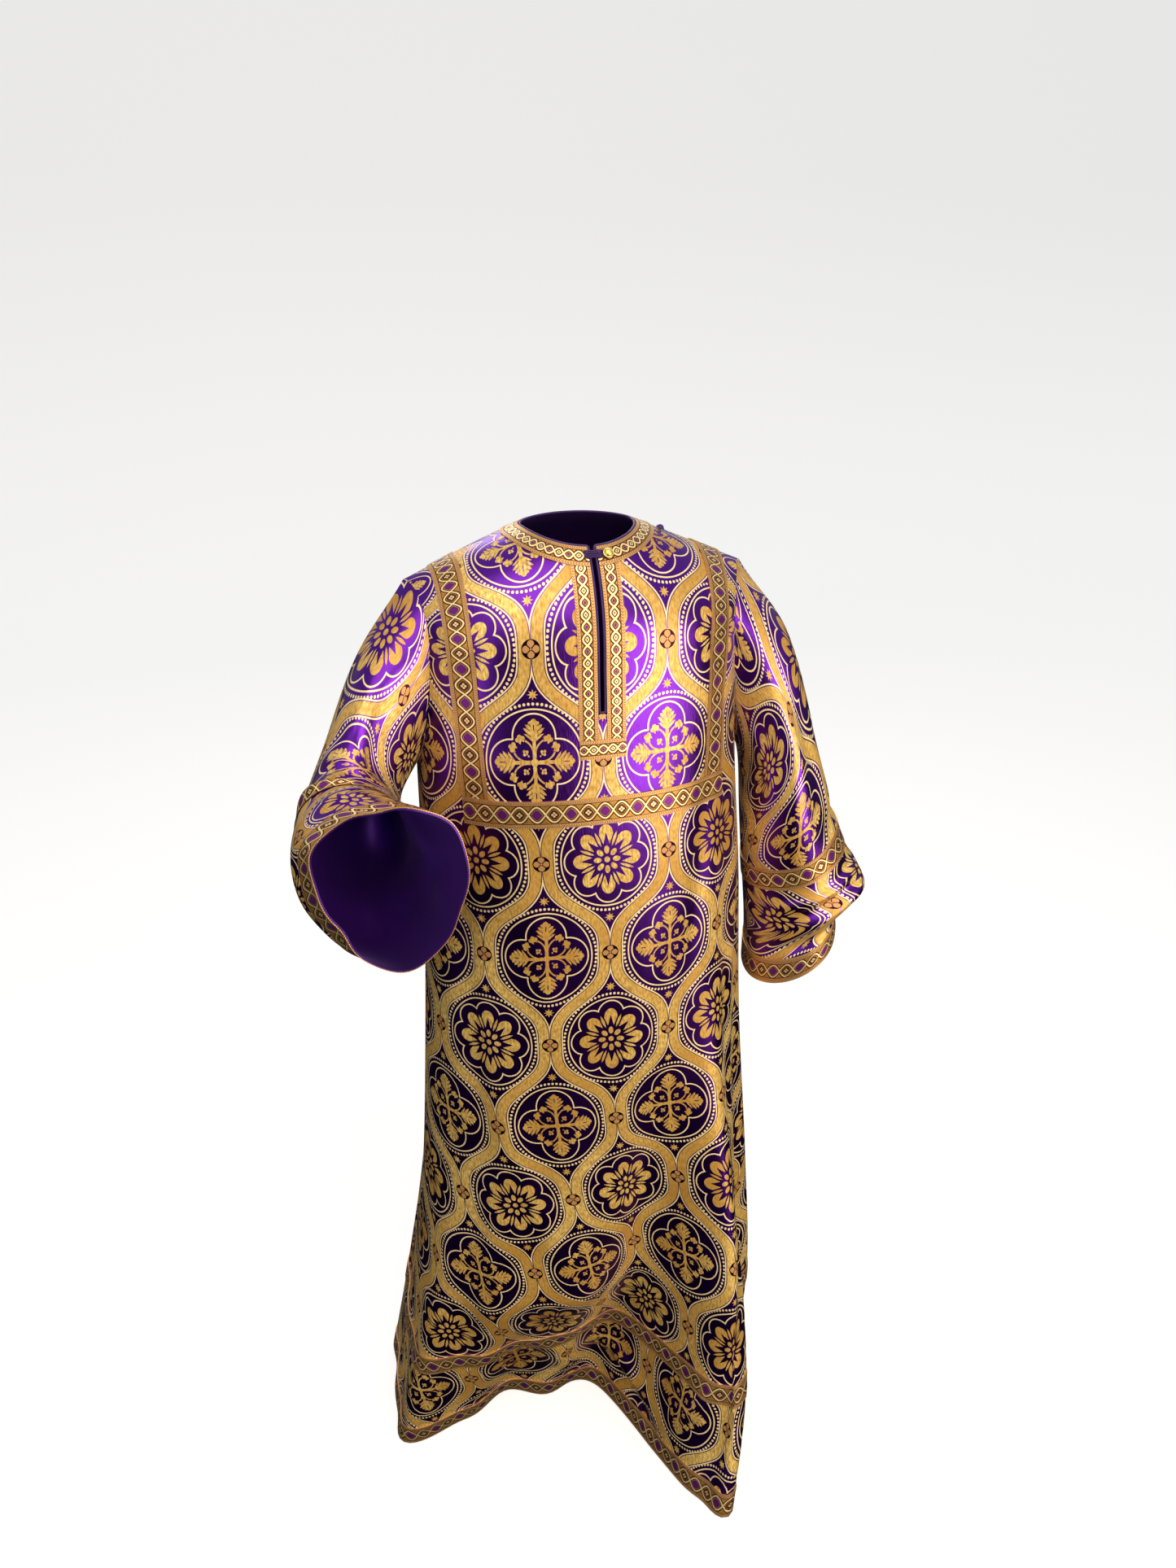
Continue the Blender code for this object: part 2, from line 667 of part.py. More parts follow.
def main():
    for obj in list(bpy.data.objects):
        bpy.data.objects.remove(obj)
    cloth = make_material("brocade", (0.20, 0.06, 0.42), 0.45, 0.1)
    galloon = make_material("galloon", (0.62, 0.38, 0.12), 0.4, 0.6)
    binding = make_material("binding", (0.05, 0.01, 0.10), 0.6, 0.0)
    brass = make_material("brass", (0.80, 0.56, 0.20), 0.25, 1.0)
    make_panel("front", cloth, galloon)
    make_panel("back", cloth, galloon)
    for hand in ("left", "right"):
        make_sleeve(hand, cloth, galloon)
    make_piping(binding)
    band_top = SEAM_GAP + GALLOON
    button_down = NECK_DEPTH["front"] + 0.009
    loop_base = band_top + SEAM_GAP + LOOP_RADIUS
    make_button("neck_button", 0.016, button_down, band_top + SEAM_GAP, 0.0019,
                NECK_BUTTON_RADIUS, 0.0045, brass)
    make_loop(0.016, button_down, 0.026, loop_base, binding)
    make_button("shoulder_button", 0.0975, 0.010, SEAM_GAP * 1.3, 0.0012,
                SHOULDER_BUTTON_RADIUS, 0.004, binding)


main()
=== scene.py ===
"""Deacon's dalmatic, worn and hollow, in violet and gold brocade with sewn-on galloon.

Metres, +Z up. The origin is the middle of the shoulder line, and the front faces -Y.
Every piece is laid out flat, as it is cut, and carried onto the draped form. The flat
distances across and down are its pattern coordinates too, so the woven repeat runs straight
down each panel and bends only where the cloth does.
"""

import math
from collections import namedtuple

import bpy
import numpy as np
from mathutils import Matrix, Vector
from mathutils.bvhtree import BVHTree
from mathutils.geometry import delaunay_2d_cdt


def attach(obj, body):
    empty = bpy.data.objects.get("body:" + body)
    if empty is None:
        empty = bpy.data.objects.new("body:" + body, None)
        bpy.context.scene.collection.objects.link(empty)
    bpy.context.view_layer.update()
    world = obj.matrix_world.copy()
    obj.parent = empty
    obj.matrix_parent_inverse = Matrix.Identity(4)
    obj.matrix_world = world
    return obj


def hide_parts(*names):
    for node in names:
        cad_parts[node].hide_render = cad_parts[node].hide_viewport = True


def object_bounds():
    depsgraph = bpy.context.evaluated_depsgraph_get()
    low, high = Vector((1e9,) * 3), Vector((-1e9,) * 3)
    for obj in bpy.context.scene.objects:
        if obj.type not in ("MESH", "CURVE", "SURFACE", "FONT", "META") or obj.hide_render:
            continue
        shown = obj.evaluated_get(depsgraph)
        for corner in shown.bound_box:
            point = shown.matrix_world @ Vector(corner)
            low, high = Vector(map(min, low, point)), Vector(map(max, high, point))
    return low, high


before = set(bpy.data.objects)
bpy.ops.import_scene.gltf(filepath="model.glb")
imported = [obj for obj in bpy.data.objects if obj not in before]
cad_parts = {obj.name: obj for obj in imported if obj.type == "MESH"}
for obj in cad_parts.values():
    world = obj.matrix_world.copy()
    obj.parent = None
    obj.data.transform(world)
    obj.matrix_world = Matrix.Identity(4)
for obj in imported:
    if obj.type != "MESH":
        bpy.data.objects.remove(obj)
solid_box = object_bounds()

# Cloth and seams
CLOTH = 0.0018
GALLOON = 0.0010
SEAM_GAP = 0.0003
BAND_JOIN = 0.0006
SEAM_PLANE = 0.0004
BAND_TOP = SEAM_GAP + GALLOON
SLEEVE_GAP = SEAM_GAP * 1.4

# Shoulders and neck
SHOULDER_HALF = 0.205
SHOULDER_REACH = 0.255
NECK_HALF = 0.067
NECK_POINT_HEIGHT = 0.005
SHOULDER_SLOPE = 0.43
NECK_ROUND = 0.040
NECK_DEPTH = {"front": 0.075, "back": 0.050}
ROUND_OVER = 0.185
ROUND_HEIGHT = -0.120

# Opening at the front
SLIT_HALF = 0.0050
SLIT_END = 0.240

# Armholes and length
UNDERARM = 0.320
LENGTH = 1.385
ARMHOLE_STEPS = 48
ARMHOLE_BEND = ((0.180, 0.105), (0.186, UNDERARM))

# Galloon
NARROW = 0.021
WIDE = 0.032
CHEST_BAND = 0.335
YOKE_OUT_TOP = 0.176
YOKE_OUT_CHEST = 0.160
SKIRT_BAND = LENGTH - 0.182
SLIT_FOOT = 0.268

# Binding, buttons and loop
PIPING_RADIUS = 0.0014
NECK_BUTTON_RADIUS = 0.006
SHOULDER_BUTTON_RADIUS = 0.005
LOOP_RADIUS = 0.0007
LOOP_TURNS = (0.0036, 0.0022, 0.0008)
LOOP_REACH = 0.026
NECK_BUTTON = (0.016, NECK_DEPTH["front"] + 0.009)
NECK_BUTTON_STEM = 0.0019
NECK_BUTTON_HEIGHT = 0.0045
SHOULDER_BUTTON = (0.0975, 0.010)
SHOULDER_BUTTON_STEM = 0.0012
SHOULDER_BUTTON_HEIGHT = 0.004
SHOULDER_BUTTON_BASE = SEAM_GAP * 1.3
PIPING_CORNER = 0.0015
PIPING_STEP = 0.008
PIPING_SIDES = 12
BUTTON_SIDES = 40

# Mesh steps
ACROSS_STEP = 0.0085
DOWN_STEP = 0.0125
FLAT_SQUASH = 0.7
SAMPLES = 321
SLEEVE_STEP = 0.045
NECK_STEPS = 27
NECK_CLEAR = NECK_HALF - 0.001
GRID_CLEAR = ACROSS_STEP * 0.45
NEAR = 0.003
SHARP_EDGE = 40

# Woven repeat of the brocade
REPEAT_ACROSS = 0.150
REPEAT_DOWN = 0.245
ROSETTE_DOWN = 0.167
SLEEVE_PATTERN = {"left": (0.030, 0.060), "right": (0.030, 0.120)}
SOFT_EDGE = 0.00018
RIBBON_SWING = 0.0305
RIBBON_HALF = 0.0061
RIBBON_LINE = 0.0008
FINE = 0.0004
FINE_DARK = 0.0009
RING = 0.0615
RING_ACROSS = 0.0580
RING_DOWN = 0.0650
BEADS = 76
BEAD = 0.00165
RING_LINE_ROUND = 0.0563
RING_LINE = 0.0011
SCALLOP_LINE = 0.0009
SCALLOP_CENTRE = 0.03534
SCALLOP_ROUND = 0.01680
SCALLOP_CUSP = 0.0410
PETAL_MIDDLE = 0.0308
PETAL_OUT = 0.0108
PETAL_IN = 0.0135
PETAL_HALF = 0.0086
PETAL_GAP = 0.0035
PETAL_FOOT = 0.0190
WEDGE_TIP = 0.0325
WEDGE_OPEN = 0.27
RAY_MIDDLE = 0.0262
RAY_HALF_LONG = 0.0092
RAY_HALF = 0.0017
BUD_MIDDLE = 0.0118
BUD_HALF_LONG = 0.0047
BUD_HALF = 0.0031
HEART = 0.0034
QUATREFOIL_CENTRE = 0.02697
QUATREFOIL_ROUND = 0.02453
QUATREFOIL_CUSP = 0.0340
LEAF_MIDDLE = 0.0340
LEAF_HALF_LONG = 0.0126
LEAF_HALF = 0.0120
LOBE_LEAN = 0.75
LOBE_START = 0.0190
LOBE_PITCH = 0.0056
LOBE_DEEP = 0.66
LOBE_SWELL = 0.76
NOTCH_HALF = 0.00050
NOTCH_START = 0.0038
RIB_HALF = 0.00055
RIB_START = 0.0270
RIB_END = 0.0400
STEM_HALF = 0.0019
CROSSING = 0.0042
SCROLL_CENTRE = (0.0085, 0.0175)
SCROLL_ROUND = 0.0163
SCROLL_TOP = 0.0108
SCROLL_START = 0.0055
SCROLL_BUDS = (
    (0.0232, 0.0150, 0.0036),
    (0.0258, 0.0130, 0.0024),
    (0.0270, 0.0168, 0.0026),
    (0.0238, 0.0192, 0.0024),
    (0.0090, 0.0088, 0.0012),
    (0.0115, 0.0084, 0.0016),
    (0.0118, 0.0117, 0.0016),
    (0.0068, 0.0067, 0.0009),
)
CURL = (0.0208, 0.0136)
CURL_ROUND = 0.0017
KNOT = 0.0100
KNOT_PETAL = 0.0037
KNOT_PETAL_OUT = 0.0053
STAR_DOWN = 0.0750
STAR = 0.0062
STAR_SHARP = 3.2

# Woven repeat of the galloon
WIDE_EYE = 0.0190
NARROW_EYE = 0.0108
WIDE_ROPE = 0.0046
NARROW_ROPE = 0.0036
ROPE_LINE = 0.0004
TWIST = 0.0027
TWIST_LEAN = 0.9
STRAND = 0.0009
STRAND_LINE = 0.0007
EYE_PETAL = 0.0013

# Colours and finishes, in linear light
GOLD = (0.84, 0.51, 0.11)
# The next two are the gold's painted sheen: a painted highlight in the lighter patches and painted
# shade in the darker ones
GOLD_PAINTED_HIGHLIGHT = (1.0, 0.76, 0.25)
GOLD_PAINTED_SHADE = (0.62, 0.34, 0.07)
GOLD_DEEP = (0.48, 0.235, 0.035)
CREAM = (1.0, 0.84, 0.52)
COPPER = (0.54, 0.27, 0.10)
VIOLET = (0.165, 0.028, 0.50)
VIOLET_DEEP = (0.060, 0.007, 0.13)
KNOT_DARK = (0.030, 0.004, 0.015)
BRAID = (0.72, 0.40, 0.085)
BRAID_DEEP = (0.36, 0.14, 0.025)
BRAID_DARK = (0.095, 0.022, 0.012)
BRAID_LIGHT = (1.0, 0.80, 0.40)
BRAID_CREAM = (0.94, 0.72, 0.38)
ROPE_ROSE = (0.66, 0.38, 0.15)
ROPE_DARK = (0.20, 0.07, 0.035)
EYE_VIOLET = (0.16, 0.016, 0.22)
GOLD_ROUGH = 0.45
SATIN_ROUGH = 0.29
GOLD_METAL = 0.42
SATIN_METAL = 1.0
LINING = (0.080, 0.012, 0.28)
LINING_DEEP = (0.030, 0.005, 0.11)
BINDING = (0.050, 0.009, 0.14)
BINDING_DEEP = (0.024, 0.005, 0.06)
BRASS = (1.0, 0.84, 0.32)
BRASS_DEEP = (0.85, 0.58, 0.14)
THREAD = (0.62, 0.36, 0.09)
THREAD_DEEP = (0.32, 0.14, 0.03)

# Irregular variation: scale, detail and stretch
BROCADE_GRAIN = (420, 2, (1, 0.35, 1))
BROCADE_SHADE = (9, 3)
# Broad patches where the brocade gold is painted lighter and darker: a painted sheen
BROCADE_PAINTED_SHEEN = (7, 2, (1, 0.6, 1))
BROCADE_THREADS = (900, 1, (1, 0.12, 1))
BRAID_GRAIN = (700, 2, (0.4, 1, 1))
SATIN_SHADE = (14, 3)
SATIN_THREADS = (1100, 1, (1, 1, 0.15))
BRASS_WEAR = (260, 4)
BRASS_SCRATCHES = (1800, 2, (1, 6, 1))
THREAD_TWIST = (1500, 1)

# Tones that follow a variation: how steeply, and from what start
# The next one turns the painted sheen into the gold's lighter and darker patches
PAINTED_SHEEN_TONE = (4.2, -1.6)
GOLD_TONE = (2.4, -0.7)
CREAM_TONE = (1.2, 0.1)
BRAID_TONE = (2.0, -0.5)
BRASS_ROUGH = (0.16, 0.26)

# Sewing
STITCH = 0.0017
STITCH_PITCH = 0.0036
STITCH_HALF = 0.00015
STITCH_INSET = 0.0012
END_INSET = 0.002
STITCH_LIFT = BAND_TOP + STITCH_HALF * 0.2

# Camera, lights and floor
CAMERA_LENS = 26.0
CAMERA_PLACE = (-0.2898, -1.2160, 0.271)
CAMERA_TURN = (65, 0, -14)
FLOOR_CLEAR = 0.002
SKY = 0.52
SKY_BELOW = 0.004
BACKDROP = 0.97
FLOOR_GLOW = 0.68
FLOOR_GREY = (0.40, 0.40, 0.40, 1)
SKY_RISE = (1.6, 0.62)
WHITE = (1, 1, 1, 1)
ROOM_HALF = 30.0
ROOM_FRONT = -6.0
ROOM_BACK = 4.0
ROOM_BEND = 2.0
ROOM_TOP = 7.0
LIGHTS = (
    ("key", (1.10, -1.70, -0.45), (0.0, 0.0, -0.85), 1.3, 32, (1.0, 0.88, 0.70)),
    ("top", (-0.30, -1.60, 1.40), (0.0, 0.0, -1.30), 2.4, 50, (1.0, 0.88, 0.70)),
    ("fill", (-1.7, -1.1, -0.2), (0.0, 0.0, -0.8), 1.2, 6, (1.0, 0.94, 0.86)),
    ("back", (0.3, 1.9, 1.0), (0.0, 0.0, -0.4), 1.5, 18, (1.0, 0.97, 0.94)),
)

# Rounded sections of the body: height, half width, depth in front, depth behind, shift to the left
SECTIONS = (
    (-0.12, 0.186, 0.114, 0.1, 0.0),
    (-0.26, 0.191, 0.127, 0.11, 0.0),
    (-0.42, 0.199, 0.133, 0.114, 0.006),
    (-0.66, 0.213, 0.14, 0.124, 0.008),
    (-0.93, 0.237, 0.147, 0.14, 0.01),
    (-1.14, 0.261, 0.15, 0.152, 0.002),
    (-1.33, 0.274, 0.152, 0.162, -0.018),
)
ROUNDNESS = 2.3

# Folds of the body, each running down from its start: height of the start, place there, place at
# the hem, half width, depth, growth. Places are shares of the way from the middle to the side seam
FOLDS = {
    "front": (
        (-0.5, 0.46, 0.252, 0.094, 0.17, 1.8),
        (-0.62, 0.16, 0.03, 0.1, -0.06, 1.2),
        (-1.02, -0.14, -0.27, 0.34, -0.118, 1.1),
        (-0.8, -0.62, -0.76, 0.12, 0.035, 1.2),
        (-0.55, -0.36, -0.45, 0.09, 0.014, 0.8),
        (-0.45, 0.72, 0.7, 0.09, -0.022, 0.8),
    ),
    "back": (
        (-0.35, -0.62, -0.66, 0.11, 0.034, 1.1),
        (-0.3, -0.4, -0.42, 0.11, -0.03, 1.1),
        (-0.4, -0.12, -0.16, 0.12, 0.04, 1.2),
        (-0.45, 0.12, 0.1, 0.11, -0.036, 1.1),
        (-0.34, 0.36, 0.38, 0.12, 0.036, 1.1),
        (-0.42, 0.62, 0.66, 0.11, -0.026, 1.0),
    ),
}

# Soft creases on the panels: flat place, half sizes along and across the crease, the way it
# leans from straight down in degrees, and its height
WRINKLES = {
    "front": (
        (0.118, 0.47, 0.13, 0.014, -6, -0.004),
        (-0.09, 0.52, 0.15, 0.018, 8, 0.0035),
        (0.03, 0.64, 0.16, 0.02, -12, 0.004),
        (0.175, 0.64, 0.17, 0.013, 2, -0.005),
        (-0.175, 0.6, 0.19, 0.016, 0, -0.0045),
        (-0.03, 0.82, 0.14, 0.017, -10, -0.0035),
        (0.1, 0.88, 0.16, 0.016, -12, 0.004),
        (-0.125, 0.9, 0.17, 0.018, 6, 0.004),
        (0.205, 1.02, 0.18, 0.015, 4, 0.005),
        (0.15, 0.215, 0.06, 0.01, 18, -0.003),
        (-0.15, 0.225, 0.06, 0.01, -18, -0.003),
        (0.095, 0.29, 0.03, 0.012, 75, 0.002),
        (-0.1, 0.3, 0.034, 0.012, -70, 0.0022),
        (0.146, 1.235, 0.15, 0.021, -7, -0.015),
        (0.194, 1.22, 0.17, 0.015, -4, 0.012),
        (0.092, 1.275, 0.08, 0.018, -35, 0.008),
        (-0.05, 1.3, 0.09, 0.015, 62, 0.008),
        (-0.015, 1.335, 0.06, 0.011, 68, -0.007),
        (-0.165, 1.27, 0.11, 0.018, 18, 0.0065),
    ),
    "back": (
        (0.11, 0.39, 0.17, 0.015, 8, 0.0065),
        (-0.12, 0.4, 0.18, 0.016, -9, 0.006),
        (0.01, 0.46, 0.19, 0.018, 2, -0.0055),
        (-0.07, 0.62, 0.2, 0.016, -4, -0.0055),
        (0.08, 0.64, 0.21, 0.015, 5, -0.005),
        (0.005, 0.98, 0.2, 0.017, -2, 0.0055),
        (0.165, 0.7, 0.18, 0.015, 4, -0.0045),
        (-0.17, 0.74, 0.18, 0.017, -3, 0.0045),
        (0.07, 0.9, 0.17, 0.018, 3, 0.004),
        (-0.06, 1.0, 0.18, 0.017, -5, -0.004),
        (0.13, 0.2, 0.06, 0.012, 24, -0.003),
        (-0.135, 0.205, 0.06, 0.012, -22, -0.0028),
    ),
}
SEAM_FADE = 0.030

# Sleeve rings below the armhole: the line over the shoulder, the line under the arm, the
# reach to the front and to the back of the arm, and how far that front has turned up, in degrees
SLEEVES = {
    "left": (
        ((0.205, 0.0, -0.05), (0.192, 0.0, -0.258), 0.08, 0.078, 0),
        ((0.25, -0.012, -0.13), (0.215, -0.008, -0.302), 0.08, 0.08, 0),
        ((0.288, -0.02, -0.255), (0.222, -0.018, -0.362), 0.076, 0.08, 0),
        ((0.325, -0.033, -0.372), (0.227, -0.028, -0.432), 0.07, 0.08, 0),
        ((0.351, -0.042, -0.448), (0.229, -0.03, -0.512), 0.072, 0.08, 0),
        ((0.328, -0.05, -0.52), (0.228, -0.03, -0.6), 0.068, 0.078, 0),
    ),
    "right": (
        ((-0.205, 0.0, -0.05), (-0.192, 0.0, -0.258), 0.08, 0.078, 0),
        ((-0.252, -0.008, -0.122), (-0.214, -0.018, -0.292), 0.082, 0.08, 14),
        ((-0.292, -0.03, -0.215), (-0.214, -0.052, -0.308), 0.084, 0.085, 38),
        ((-0.328, -0.072, -0.288), (-0.208, -0.092, -0.315), 0.086, 0.098, 64),
        ((-0.341, -0.128, -0.316), (-0.184, -0.138, -0.318), 0.088, 0.106, 84),
        ((-0.326, -0.19, -0.312), (-0.16, -0.184, -0.316), 0.086, 0.098, 94),
    ),
}
MID_BAND = (2.93, 3.30)
EDGE_BAND = (4.57, 5.0)
ARMHOLE_FADE = 1.8

# Sleeve folds: place along the sleeve, place round it in degrees, both half sizes and the height
CREASES = {
    "left": (
        (1.5, 60, 0.9, 22, -0.008),
        (3.9, 30, 0.3, 45, 0.01),
        (4.55, 20, 0.26, 50, -0.014),
        (2.3, 110, 0.8, 24, 0.008),
        (0.9, 75, 0.5, 10, -0.003),
        (1.2, 130, 0.6, 11, 0.003),
        (2.2, 45, 0.5, 10, 0.0035),
        (2.75, 20, 0.12, 40, -0.004),
        (3.55, 60, 0.12, 34, -0.0045),
        (4.1, 100, 0.25, 14, 0.004),
        (4.2, 55, 0.2, 12, -0.004),
        (1.8, 250, 0.7, 14, -0.004),
        (3.9, 250, 0.35, 16, 0.004),
        (2.9, 300, 0.5, 13, 0.003),
        (0.9, 0, 0.7, 42, 0.006),
        (2.8, 172, 1.6, 46, 0.016),
        (3.62, 92, 0.13, 44, 0.006),
        (3.8, 70, 0.1, 40, -0.007),
        (4.05, 40, 0.12, 42, 0.007),
        (4.35, 100, 0.14, 40, -0.006),
    ),
    "right": (
        (1.6, 100, 0.7, 26, -0.012),
        (2.6, 240, 0.5, 40, 0.012),
        (3.4, 160, 0.6, 26, -0.008),
        (3.2, 300, 0.5, 34, -0.01),
        (0.9, 75, 0.5, 10, -0.003),
        (1.5, 60, 0.4, 11, 0.004),
        (2.2, 120, 0.4, 10, 0.004),
        (2.6, 60, 0.16, 26, -0.0045),
        (3.0, 40, 0.14, 30, 0.004),
        (4.0, 70, 0.3, 13, 0.004),
        (4.3, 200, 0.35, 12, -0.004),
        (3.9, 270, 0.4, 14, 0.0045),
        (1.9, 300, 0.6, 13, -0.004),
        (5.0, 30, 0.9, 16, 0.007),
        (5.0, 84, 0.7, 14, -0.006),
        (5.0, 140, 0.9, 18, 0.0065),
        (5.0, 204, 0.7, 16, -0.006),
        (5.0, 262, 0.9, 18, 0.007),
        (5.0, 322, 0.7, 15, -0.006),
        (5.0, 338, 0.42, 48, -0.013),
    ),
}


def unit(ways):
    """The same ways with length 1."""
    return ways / np.linalg.norm(ways, axis=-1, keepdims=True)


def run_along(points):
    """Distances of points along their line from its first."""
    return np.concatenate([[0], np.cumsum(np.linalg.norm(np.diff(points, axis=0), axis=1))])


def read_at(places, run, table):
    """Rows of a table read at places along a run."""
    return np.stack([np.interp(places, run, column) for column in table.T], axis=-1)


def eased(share):
    """A share from 0 to 1 that starts and ends slowly."""
    return share**2 * (3 - 2 * share)


def smooth(at, knots, values):
    """Values at one place of a cubic curve through the knots, with Catmull-Rom slopes."""
    slopes = np.gradient(values, knots, axis=0)
    at = min(max(at, knots[0]), knots[-1])
    low = min(np.searchsorted(knots, at, side="right"), len(knots) - 1) - 1
    span = knots[low + 1] - knots[low]
    u = (at - knots[low]) / span
    start = (2 * u**3 - 3 * u**2 + 1) * values[low]
    end = (3 * u**2 - 2 * u**3) * values[low + 1]
    lean_in = (u**3 - 2 * u**2 + u) * span * slopes[low]
    lean_out = (u**3 - u**2) * span * slopes[low + 1]
    return start + end + lean_in + lean_out


def level(side, height):
    """The cloth across one panel at a height: a rounded section pushed out and in by its folds."""
    place = np.linspace(-1, 1, SAMPLES)
    rows = np.array(SECTIONS)
    width, front, back, shift = smooth(-height, -rows[:, 0], rows[:, 1:])
    facing, depth = (1, -front) if side == "front" else (-1, back)
    angle = place * math.pi / 2
    power = 2 / ROUNDNESS
    x = width * np.sign(place) * np.abs(np.sin(angle)) ** power + shift
    y = depth * np.abs(np.cos(angle)) ** power
    out = unit(np.stack([np.gradient(y), -np.gradient(x)], axis=1)) * facing
    push = np.zeros(SAMPLES)
    hem = SECTIONS[-1][0]
    for start, top_place, hem_place, half_width, deep, growth in FOLDS[side]:
        run = min(max((start - height) / (start - hem), 0), 1)
        middle = top_place + (hem_place - top_place) * run
        rise = run**growth * (3 - run) / 2
        push += deep * rise * np.exp(-(((place - middle) / half_width) ** 2))
    push *= 1 - place**6
    return np.stack([x + out[:, 0] * push, y + out[:, 1] * push, np.full(SAMPLES, height)], axis=1)


def shoulder_line():
    """The line over the shoulders, carried on across the neck and past the tips."""
    x = np.linspace(-SHOULDER_REACH, SHOULDER_REACH, SAMPLES)
    bend = np.hypot(x, NECK_ROUND) - math.hypot(NECK_HALF, NECK_ROUND)
    return np.stack([x, np.zeros(SAMPLES), NECK_POINT_HEIGHT - SHOULDER_SLOPE * bend], axis=1)


def cloth_row(side, down):
    """Points across the panel, and their distances across from its middle, at a distance down."""
    if down < ROUND_OVER:
        angle = down / ROUND_OVER * math.pi / 2
        top = shoulder_line()
        low = level(side, ROUND_HEIGHT)
        points = top + (low - top) * (math.sin(angle), math.sin(angle), 1 - math.cos(angle))
    else:
        points = level(side, ROUND_HEIGHT - (down - ROUND_OVER))
    distance = run_along(points)
    return points, distance - distance[-1] / 2


def half_cut(side, down):
    """Half of the panel's flat width at a distance down."""
    return cloth_row(side, down)[1][-1]


def on_form(side, across, down):
    """World points of flat positions."""
    across = np.asarray(across, float)
    down = np.round(np.asarray(down, float), 6)
    points = np.zeros((len(across), 3))
    for value in np.unique(down):
        chosen = down == value
        row, distance = cloth_row(side, value)
        points[chosen] = read_at(across[chosen], distance, row)
    return points


def draped(side, flat):
    """World points and outward normals of flat positions, level with the seams along y = 0."""
    across, down = np.array(flat, float).T
    right = on_form(side, across + NEAR, down) - on_form(side, across - NEAR, down)
    fall = on_form(side, across, down + NEAR) - on_form(side, across, down - NEAR)
    normals = np.cross(fall, right) if side == "front" else np.cross(right, fall)
    points = on_form(side, across, down)
    normals[np.abs(points[:, 1]) < SEAM_PLANE, 1] = 0
    return points, unit(normals)


def wrinkled(side, flat, edge):
    """Heights of the panel's soft creases at flat positions, none at its sewn edges."""
    height = np.zeros(len(flat))
    for across, down, half_long, half_wide, lean, deep in WRINKLES[side]:
        lean = math.radians(lean)
        x, y = (flat - (across, down)).T
        along = x * math.sin(lean) + y * math.cos(lean)
        beside = x * math.cos(lean) - y * math.sin(lean)
        height += deep * np.exp(-((along / half_long) ** 2) - (beside / half_wide) ** 2)
    clear = np.full(len(flat), SEAM_FADE)
    for place in edge:
        clear = np.minimum(clear, np.hypot(*(flat - place).T))
    return height * eased(clear / SEAM_FADE)


def shown(name, data):
    """A new object of some data, in the scene."""
    obj = bpy.data.objects.new(name, data)
    bpy.context.collection.objects.link(obj)
    return obj


def finish(mesh, name, materials):
    """The named object of a mesh, smooth but for its edges."""
    mesh.shade_smooth()
    mesh.set_sharp_from_angle(angle=math.radians(SHARP_EDGE))
    for material in materials:
        mesh.materials.append(material)
    return shown(name, mesh)


def wall(node, slot, points, normals, faces, marks, looks):
    """A closed wall over the faces that stands for its node: lined cloth, or a galloon on it.

    `marks` holds the pattern coordinates of each face's corners. The outer side has the first
    material, and the inner side and the rim have the last.
    """
    if slot == "brocade":
        name, low, high, materials = f"{node}_cloth", -CLOTH, 0, [looks[slot], looks["lining"]]
    else:
        name, low, high, materials = f"{node}_braid", SEAM_GAP, BAND_TOP, [looks[slot]]
    used, corners = np.unique(faces, return_inverse=True)
    corners = corners.reshape(-1, 3)
    marks = np.array(marks, float)
    points, normals = points[used], normals[used]
    a, b, c = points[corners].transpose(1, 0, 2)
    if np.sum(np.cross(b - a, c - a) * normals[corners].sum(axis=1)) < 0:
        corners, marks = corners[:, ::-1], marks[:, ::-1]
    edges = {}
    for face, mark in zip(corners.tolist(), marks.tolist()):
        for i in range(3):
            edges[face[i - 1], face[i]] = (mark[i - 1], mark[i])
    rim = sorted(edge for edge in edges if edge[::-1] not in edges)
    count = len(used)
    solid = corners.tolist() + (corners[:, ::-1] + count).tolist()
    solid += [(b, a, a + count, b + count) for a, b in rim]
    rim_marks = [(second, first, first, second) for first, second in map(edges.get, rim)]
    mesh = bpy.data.meshes.new(name)
    mesh.from_pydata(np.vstack([points + normals * high, points + normals * low]), [], solid)
    layer = mesh.uv_layers.new(name="cloth")
    spots = np.concatenate([marks.ravel(), marks[:, ::-1].ravel(), np.ravel(rim_marks)])
    layer.data.foreach_set("uv", spots)
    inner = len(solid) - len(corners)
    mesh.polygons.foreach_set("material_index", [0] * len(corners) + [len(materials) - 1] * inner)
    return piece(finish(mesh, name, materials), node)


def line(start, end, step):
    """Evenly spaced flat points from start to end, both included."""
    count = max(1, round(math.dist(start, end) / step))
    return [tuple(a + (b - a) * i / count for a, b in zip(start, end)) for i in range(count + 1)]


def steps_between(stops, step):
    """Places from the first stop to the last in steps of about `step`, with every stop among them."""
    places = [stops[0]]
    for start, end in zip(stops, stops[1:]):
        count = max(1, round((end - start) / step))
        places += [start + (end - start) * (i + 1) / count for i in range(count)]
    return places


def neck_arc(side, grow, start, end, count):
    """Flat points of the neckline, or of a line `grow` outside it, between two angles."""
    angles = np.linspace(start, end, count + 1)
    reach = NECK_HALF + grow
    depth = NECK_DEPTH[side] + grow
    return [(reach * math.cos(a), SEAM_GAP / 2 + depth * math.sin(a)) for a in angles]


def slit_angle(grow, offset):
    """Angle at which a line `grow` outside the front neckline is `offset` from the middle."""
    return math.acos(offset / (NECK_HALF + grow))


def mirrored(points):
    """The same flat points on the other side of the middle, in the opposite order."""
    return [(-across, down) for across, down in reversed(points)]


